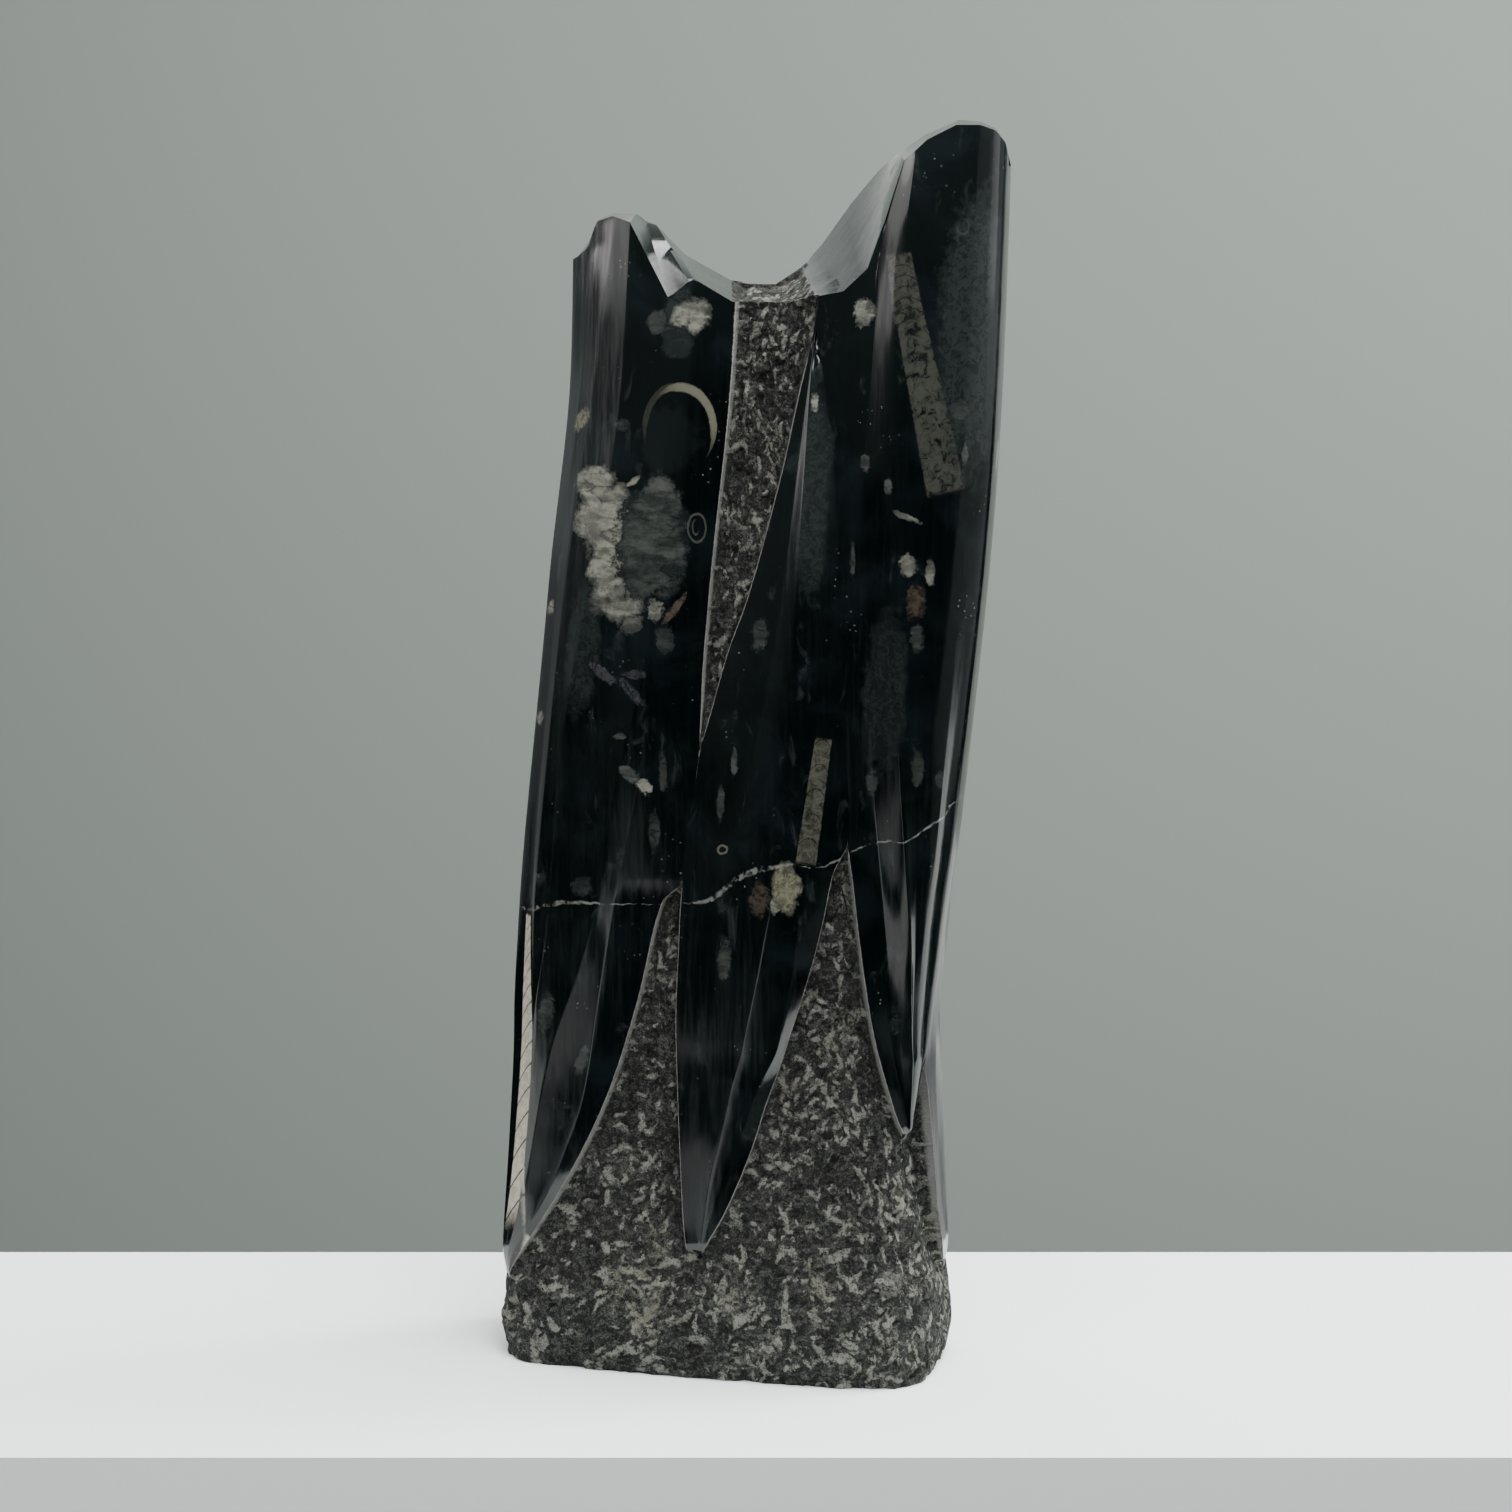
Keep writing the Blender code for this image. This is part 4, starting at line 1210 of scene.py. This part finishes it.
@dataclass(frozen=True)
class PolishedLimestone:
    """Black limestone ground and polished, with the fossils in it, streaks and a pale arris: real bruises
    with a painted highlight.
    """

    name: str = "polished_black_limestone"
    black: Colour = (0.0008, 0.0020, 0.0024)
    cloud: Colour = (0.0040, 0.0068, 0.0076)
    ghost: Colour = (0.020, 0.024, 0.024)
    speck: Colour = (0.19, 0.19, 0.175)
    # Pale arris colour: real bruises with a painted highlight along the edge.
    bruise_and_highlight: Colour = (0.24, 0.235, 0.215)
    smoothest: float = 0.10
    dullest: float = 0.20
    bed: FossilBed = FossilBed()

    def make(self) -> bpy.types.Material:
        """Make the material."""
        material = bpy.data.materials.new(self.name)
        graph = Graph(material)
        at = graph.place_mm()
        stretched = graph.vector("MULTIPLY", at, (1.0, 1.0, 0.06))
        streak = graph.noise(stretched, 0.55, 3.0, 0.6)
        cloudy = graph.ramp(graph.noise(at, 0.035, 4.0, 0.6, 0.5), 0.45, 0.70)
        base = graph.mix(cloudy, self.black, self.cloud)
        ghosts = graph.ramp(graph.noise(graph.vector("MULTIPLY", at, (1.0, 1.0, 0.45)), 0.11, 4.0, 0.62, 0.7),
                            0.60, 0.72, 0.0, 0.7)
        base = graph.mix(ghosts, base, self.ghost)
        dots = graph.ramp(graph.node("TexVoronoi", {"Vector": at, "Scale": 0.42}, 0), 0.10, 0.19, 1.0, 0.0)
        where = graph.ramp(graph.noise(at, 0.055, 3.0, 0.6), 0.56, 0.70)
        base = graph.mix(graph.times(dots, graph.times(where, 0.6)), base, self.speck)
        colour = self.bed.lay(graph, at, base)
        arris = graph.attribute("arris")
        # Painted highlight along the arris, partly real bruising: pale colour and a rougher finish where the
        # arris share is high.
        chipped_and_highlight = graph.ramp(graph.times_plus(graph.noise(at, 0.8, 3.0, 0.6), 0.7, arris), 0.85, 1.25)
        graph.put(graph.shader.inputs["Base Color"], graph.mix(chipped_and_highlight, colour, self.bruise_and_highlight))
        dull = graph.ramp(streak, 0.35, 0.7, self.smoothest, self.dullest)
        graph.put(graph.shader.inputs["Roughness"], graph.most(dull, graph.times(chipped_and_highlight, 0.7)))
        wave = graph.noise(graph.vector("MULTIPLY", at, (1.0, 1.0, 0.3)), 0.07, 2.0, 0.5)
        graph.put(graph.shader.inputs["Normal"], graph.node(
            "Bump", {"Strength": 1.0, "Distance": 0.00022, "Height": wave}))
        return material


@dataclass(frozen=True)
class PeckStroke:
    """One size of the short pale strokes that the point chisel crushes into the stone.

    Each cell of a random tiling holds one stroke, as long and wide as half_length and
    half_width say at most, bowed by bow, and drawn only where chance falls under share.
    """

    pitch: float
    half_length: float
    half_width: float
    bow: float
    share: float
    shift: Triple

    def lay(self, graph: Graph, flat: Socket, sway: Socket,
            patch: Socket) -> Socket:
        """Give the strokes' height: 1 along a stroke's spine, falling to 0 at a distance of 1 in
        the stroke's own frame, where the way across is bent by the square of the way along.

        Args:
            graph: the material's nodes.
            flat: the place on the surface laid flat, in millimetres.
            sway: a slow noise that turns neighbouring strokes the same way.
            patch: a slow noise round 0.5 that makes the strokes more or less frequent.

        Returns:
            The strokes' height from 0 to 1.
        """
        at = graph.vector("ADD", graph.vector("SCALE", flat, scale=1 / self.pitch), self.shift)
        dice = graph.cells(at, "Color", flat=True)
        roll = [graph.node("SeparateColor", {0: dice}, n) for n in range(3)]
        off = graph.vector("SCALE", graph.vector("SUBTRACT", at, graph.cells(at, "Position", flat=True)),
                           scale=self.pitch)
        angle = graph.times_plus(roll[0], 2.4, graph.times(sway, 9.0))
        turned = graph.node("VectorRotate", {"Vector": off, "Angle": angle}, rotation_type="Z_AXIS")
        along, across = (graph.part(turned, n) for n in range(2))
        along = graph.times(along, 1 / self.half_length)
        curl = graph.times_plus(roll[1], self.bow * 2, -self.bow)
        across = graph.times_plus(graph.times(along, along), curl, across)
        across = graph.times(across, 1 / self.half_width)
        off = graph.math("SQRT", graph.math("ADD", graph.times(along, along),
                                            graph.times(across, across)))
        drawn = graph.math("LESS_THAN", graph.times_plus(patch, -2.4, roll[2]), self.share - 1.2)
        return graph.times(graph.ramp(off, 0.45, 1.1, 1.0, 0.0), drawn)


@dataclass(frozen=True)
class PeckedLimestone:
    """The same limestone broken by the point chisel: dark grey, with pale crushed strokes."""

    name: str = "pecked_limestone"
    # Painted shade: the colour laid in the pits where the relief is lowest.
    pit_shade: Colour = (0.0030, 0.0031, 0.0029)
    deep: Colour = (0.0095, 0.0098, 0.0092)
    fresh: Colour = (0.0340, 0.0345, 0.0315)
    crushed: Colour = (0.088, 0.087, 0.078)
    white: Colour = (0.230, 0.226, 0.204)
    cream: Colour = (0.205, 0.197, 0.158)
    # Pale arris colour: ground stone with a painted highlight along the edge.
    ground: Colour = (0.20, 0.20, 0.185)
    roughness: float = 0.9
    chip_ragged: float = 0.7
    strokes: tuple[PeckStroke, ...] = (
        PeckStroke(12.0, 6.6, 1.75, 3.4, 0.55, (3.1, 7.7, 0.0)),
        PeckStroke(8.8, 4.6, 1.45, 2.0, 0.56, (11.4, 2.3, 0.0)),
        PeckStroke(6.2, 3.0, 1.10, 1.0, 0.42, (5.9, 13.1, 0.0)),
        PeckStroke(4.0, 1.6, 0.80, 0.3, 0.24, (17.7, 9.2, 0.0)),
    )
    chips: tuple[Row, ...] = (
        (-12.6, -35, 44, 268, 2, 5.4, 2.4, 1), (-51.5, -33.5, 50, 262, 80, 4.2, 2.4, 0.9),
        (-44.5, -34.5, 44.5, 262, 85, 3.2, 2.9, 0.9), (-58, -32, 53, 260, 60, 5, 4, 0.7),
        (28, -36, 69, 275, 110, 6.3, 2.8, 0.8), (41.5, -34, 60, 280, 88, 7.5, 3.1, 0.8),
        (32.5, -36, 43.5, 275, 5, 8.5, 2.5, 0.85), (59, -29, 38.5, 290, 70, 7, 5.5, 0.6),
        (65, -26, 61, 295, 20, 6.2, 3.4, 0.75), (22, -38, 30, 272, 88, 13.5, 1.8, 0.7),
        (3, -38, 33, 270, 60, 4.9, 4.2, 0.7), (-27, -37, 26, 268, 65, 7.2, 2.8, 0.7),
        (-9.5, -38, 15, 268, 5, 5.6, 2.8, 0.75),
    )

    def make(self) -> bpy.types.Material:
        """Make the material."""
        material = bpy.data.materials.new(self.name)
        graph = Graph(material)
        at = graph.place_mm()
        flat = graph.attribute("flat", "Vector")
        grain = graph.noise(at, 1.3, 3.0, 0.8)
        torn = graph.noise(at, 0.33, 6.0, 0.74, 0.5)
        patch = graph.noise(at, 0.050, 4.0, 0.66)
        sway = graph.noise(at, 0.022, 2.0, 0.5)
        streaks = graph.noise(graph.vector("MULTIPLY", at, (1.0, 1.0, 0.4)), 0.6, 5.0, 0.72)
        push = graph.vector("SUBTRACT", graph.noise(at, 0.55, 5.0, 0.72, output=1), (0.5, 0.5, 0.5))
        frayed = graph.vector("ADD", flat, graph.vector("SCALE", push, scale=4.0))
        broken = graph.vector("ADD", at, graph.vector("SCALE", push, scale=2.0))
        tones = graph.cells(graph.vector("SCALE", broken, scale=0.62), "Color")
        crumb = graph.node("SeparateColor", {0: tones}, 0)
        crumb = graph.times_plus(crumb, 0.5, graph.ramp(grain, 0.36, 0.64, 0.0, 0.5))
        strokes: object = 0.0
        for stroke in self.strokes:
            strokes = graph.most(strokes, stroke.lay(graph, frayed, sway, patch))
        chips: object = 0.0
        for chip in self.chips:
            chips = graph.most(chips, Inclusion.of(chip, self.chip_ragged).shade(graph, at, torn))
        blots = graph.ramp(graph.times_plus(patch, 0.6, torn), 0.80, 1.0)
        pale = graph.most(strokes, graph.times(blots, 0.75))
        pale = graph.most(pale, chips)
        pale = graph.times(pale, graph.ramp(crumb, 0.15, 0.75, 0.35, 1.20))
        worked = graph.math("ADD", graph.times_plus(patch, 0.9, streaks), crumb)
        stone = graph.mix(graph.ramp(worked, 1.10, 1.75), self.deep, self.fresh)
        # Painted shade in the pits: darkest where torn and crumb are low, which is where the bump is lowest.
        dark = graph.times(graph.ramp(crumb, 0.36, 0.16), graph.ramp(torn, 0.60, 0.42))
        stone = graph.mix(dark, stone, self.pit_shade)
        broken_up = graph.ramp(graph.math("ADD", torn, crumb), 1.05, 1.35, 0.0, 0.8)
        stone = graph.mix(broken_up, stone, self.crushed)
        light = graph.mix(graph.ramp(graph.noise(at, 0.05, 2.0, 0.5), 0.54, 0.68), self.white, self.cream)
        colour = graph.mix(graph.ramp(pale, 0.15, 0.45), stone, self.crushed)
        colour = graph.mix(graph.ramp(pale, 0.42, 1.00), colour, light)
        # Painted highlight along the arris, partly real ground stone: the pale colour where the arris share
        # is high.
        rubbed_and_highlight = graph.ramp(graph.times_plus(grain, 0.5, graph.attribute("arris")), 0.55, 0.95)
        colour = graph.mix(rubbed_and_highlight, colour, self.ground)
        graph.put(graph.shader.inputs["Base Color"], colour)
        graph.put(graph.shader.inputs["Roughness"], self.roughness)
        graph.put(graph.shader.inputs["Specular IOR Level"], 0.2)
        rise = graph.times_plus(strokes, 0.8, graph.times_plus(torn, 1.3, grain))
        graph.put(graph.shader.inputs["Normal"], graph.node(
            "Bump", {"Strength": 1.0, "Distance": 0.0014, "Height": rise}))
        return material


@dataclass(frozen=True)
class SoftBox:
    """A soft box: an upright panel round the stone, by its bearing from the camera."""

    name: str
    bearing: float
    distance: float
    low: float
    high: float
    width: float
    radiance: float
    colour: Colour

    def watts(self) -> float:
        """Give the power for the panel's radiance: radiance times pi times the area."""
        return self.radiance * math.pi * (self.high - self.low) * self.width


@dataclass
class Studio:
    """A pale shelf before a grey wall, soft lights and the camera."""

    target: Triple = (0.0025, 0.0, 0.220)
    azimuth: float = 14.0
    elevation: float = 10.0
    distance: float = 1.6
    sensor: float = 36.0
    lens: float = 107.3
    boxes: tuple[SoftBox, ...] = (
        SoftBox("left_box", -115.0, 1.2, 0.40, 1.05, 0.85, 4.2, (1.0, 0.955, 0.945)),
        SoftBox("left_edge", -82.0, 1.2, 0.362, 1.00, 0.58, 2.7, (1.0, 0.965, 0.95)),
        SoftBox("left_spill", -113.0, 1.25, 0.20, 0.335, 0.75, 0.22, (1.0, 0.97, 0.95)),
        SoftBox("back_box", -145.0, 0.9, 1.08, 1.80, 0.9, 7.5, (0.97, 1.0, 0.98)),
        SoftBox("back_glow", -157.0, 1.2, 0.50, 1.00, 1.0, 0.60, (0.97, 1.0, 0.98)),
        SoftBox("right_panel", 88.0, 1.0, -0.10, 0.80, 1.70, 0.30, (0.95, 1.0, 0.97)),
        SoftBox("back_left", -146.0, 1.5, -0.12, 0.34, 0.45, 0.14, (0.95, 1.0, 0.98)),
        SoftBox("right_top", 98.0, 1.0, 0.29, 0.72, 0.45, 1.1, (0.97, 1.0, 0.98)),
        SoftBox("low_left", -52.0, 1.0, -0.60, -0.09, 0.60, 1.0, (0.97, 1.0, 0.99)),
        SoftBox("low_middle", -20.0, 1.0, -0.70, -0.03, 0.24, 1.8, (0.97, 1.0, 0.99)),
        SoftBox("low_right", 38.0, 1.0, -0.60, -0.10, 0.50, 0.16, (0.97, 1.0, 0.99)),
        SoftBox("low_back", 150.0, 1.3, -0.50, -0.11, 0.60, 0.5, (0.97, 1.0, 0.99)),
    )
    room_dark: Colour = (0.010, 0.011, 0.011)
    room_dim: Colour = (0.165, 0.190, 0.190)
    room_seen: Colour = (0.30, 0.325, 0.31)
    room_turn: Pair = (-5.5, -2.2)

    def directions(self) -> tuple[Vector, Vector]:
        """Give the camera's way forward and the way to its right on the table."""
        a, e = math.radians(self.azimuth), math.radians(self.elevation)
        forward = Vector((-math.sin(a) * math.cos(e), math.cos(a) * math.cos(e), -math.sin(e)))
        return forward, Vector((math.cos(a), math.sin(a), 0.0))

    def squared(self, across: float, away: float, up: float) -> Vector:
        """Turn a place given across, away and up, as the camera stands, into the stone's frame."""
        forward, right = self.directions()
        level = Vector((forward.x, forward.y, 0.0)).normalized()
        return right * across + level * away + Vector((0.0, 0.0, up))

    def set_camera(self) -> None:
        """Aim the camera at the stone."""
        forward, _ = self.directions()
        data = bpy.data.cameras.new("camera")
        data.sensor_width, data.lens = self.sensor, self.lens
        camera = bpy.data.objects.new("camera", data)
        camera.location = Vector(self.target) - forward * self.distance
        camera.rotation_mode = "QUATERNION"
        camera.rotation_quaternion = forward.to_track_quat("-Z", "Y")
        into_scene(camera)
        bpy.context.scene.camera = camera

    def plain(self, name: str, colour: Colour, roughness: float) -> bpy.types.Material:
        """Make a plain painted material for the table or the wall."""
        material = bpy.data.materials.new(name)
        graph = Graph(material)
        graph.put(graph.shader.inputs["Base Color"], (*colour, 1.0))
        graph.put(graph.shader.inputs["Roughness"], roughness)
        graph.put(graph.shader.inputs["Specular IOR Level"], 0.2)
        return material

    def box(self, name: str, low: Triple, high: Triple, material: bpy.types.Material) -> bpy.types.Object:
        """Make a box squared to the camera: low and high are across, away and up, in metres."""
        points = [tuple(self.squared(x, y, z))
                  for x in (low[0], high[0]) for y in (low[1], high[1]) for z in (low[2], high[2])]
        faces = [(0, 1, 3, 2), (4, 6, 7, 5), (0, 4, 5, 1), (2, 3, 7, 6), (0, 2, 6, 4), (1, 5, 7, 3)]
        mesh = bpy.data.meshes.new(name)
        mesh.from_pydata(points, [], faces)
        mesh.materials.append(material)
        made = into_scene(bpy.data.objects.new(name, mesh))
        return made

    def light(self, name: str, at: Vector, towards: Vector, size: Pair, watts: float, colour: Colour) -> None:
        """Hang an area light and turn it to a place."""
        data = bpy.data.lights.new(name, "AREA")
        data.shape, data.size, data.size_y = "RECTANGLE", *size
        data.energy, data.color = watts, colour
        lamp = bpy.data.objects.new(name, data)
        lamp.location = at
        lamp.rotation_mode = "QUATERNION"
        lamp.rotation_quaternion = (towards - at).to_track_quat("-Z", "Y")
        lamp.visible_camera = False
        into_scene(lamp)

    def set_stage(self) -> None:
        """Lay the shelf and stand the wall behind it."""
        table = self.plain("pale_shelf", (0.90, 0.93, 0.92), 0.6)
        wall = self.plain("grey_wall", (0.232, 0.256, 0.236), 0.9)
        self.box("shelf", (-0.9, -0.118, -0.04), (0.9, 0.128, 0.0), table)
        self.box("wall", (-0.8, 1.6, -2.0), (1.0, 1.7, 2.4), wall)

    def set_lights(self) -> None:
        """Hang the soft boxes round the stone, one overhead, one in front and one on the wall.

        The room that reflections and light see is dark below the horizon and dim above it. The
        camera alone sees an even grey.
        """
        world = bpy.data.worlds.new("dim_room")
        world.use_nodes = True
        nodes, links = world.node_tree.nodes, world.node_tree.links
        place, parts, ramp = (
            nodes.new("ShaderNode" + kind) for kind in ("TexCoord", "SeparateXYZ", "MapRange"))
        mixed, seen = nodes.new("ShaderNodeMix"), nodes.new("ShaderNodeMix")
        mixed.data_type = seen.data_type = "RGBA"
        ramp.interpolation_type = "SMOOTHSTEP"
        for name, angle in zip(("From Min", "From Max"), self.room_turn):
            ramp.inputs[name].default_value = math.sin(math.radians(angle))
        for socket, colour in ((6, self.room_dark), (7, self.room_dim)):
            mixed.inputs[socket].default_value = (*colour, 1.0)
        links.new(place.outputs["Generated"], parts.inputs[0])
        links.new(parts.outputs[2], ramp.inputs["Value"])
        links.new(ramp.outputs[0], mixed.inputs[0])
        seen.inputs[7].default_value = (*self.room_seen, 1.0)
        links.new(nodes.new("ShaderNodeLightPath").outputs["Is Camera Ray"], seen.inputs[0])
        links.new(mixed.outputs[2], seen.inputs[6])
        links.new(seen.outputs[2], nodes["Background"].inputs["Color"])
        bpy.context.scene.world = world
        for box in self.boxes:
            turn = math.radians(box.bearing)
            place = (math.sin(turn) * box.distance, -math.cos(turn) * box.distance)
            middle = (box.low + box.high) / 2
            at = self.squared(*place, middle)
            self.light(box.name, at, self.squared(0.0, 0.0, middle), (box.width, box.high - box.low),
                       box.watts(), box.colour)
        self.light("overhead", self.squared(0.35, -0.25, 1.5), self.squared(0.0, 0.0, 0.1), (1.3, 0.9), 60.0,
                   (0.97, 1.0, 0.985))
        self.light("front_box", self.squared(0.3, -1.2, 1.35), self.squared(0.0, 0.0, 0.1), (1.0, 0.7), 19.0,
                   (0.97, 1.0, 0.985))
        self.light("wall_wash", self.squared(1.5, 0.5, 1.0), self.squared(0.5, 1.6, -0.15), (1.0, 0.6), 44.0,
                   (1.0, 1.0, 0.98))


def main() -> None:
    """Build the stone, dress it and set the studio."""
    logging.basicConfig(level=logging.INFO, format="%(name)s: %(message)s")
    block = StoneBlock()
    stone = block.build([PolishedLimestone().make(), PeckedLimestone().make()])
    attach(stone, "root")
    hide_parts("orthoceras_stone")
    stone.data.calc_loop_triangles()
    LOG.info("%s: %d triangles", stone.name, len(stone.data.loop_triangles))
    studio = Studio()
    studio.set_stage()
    studio.set_lights()
    studio.set_camera()


if __name__ == "__main__":
    main()
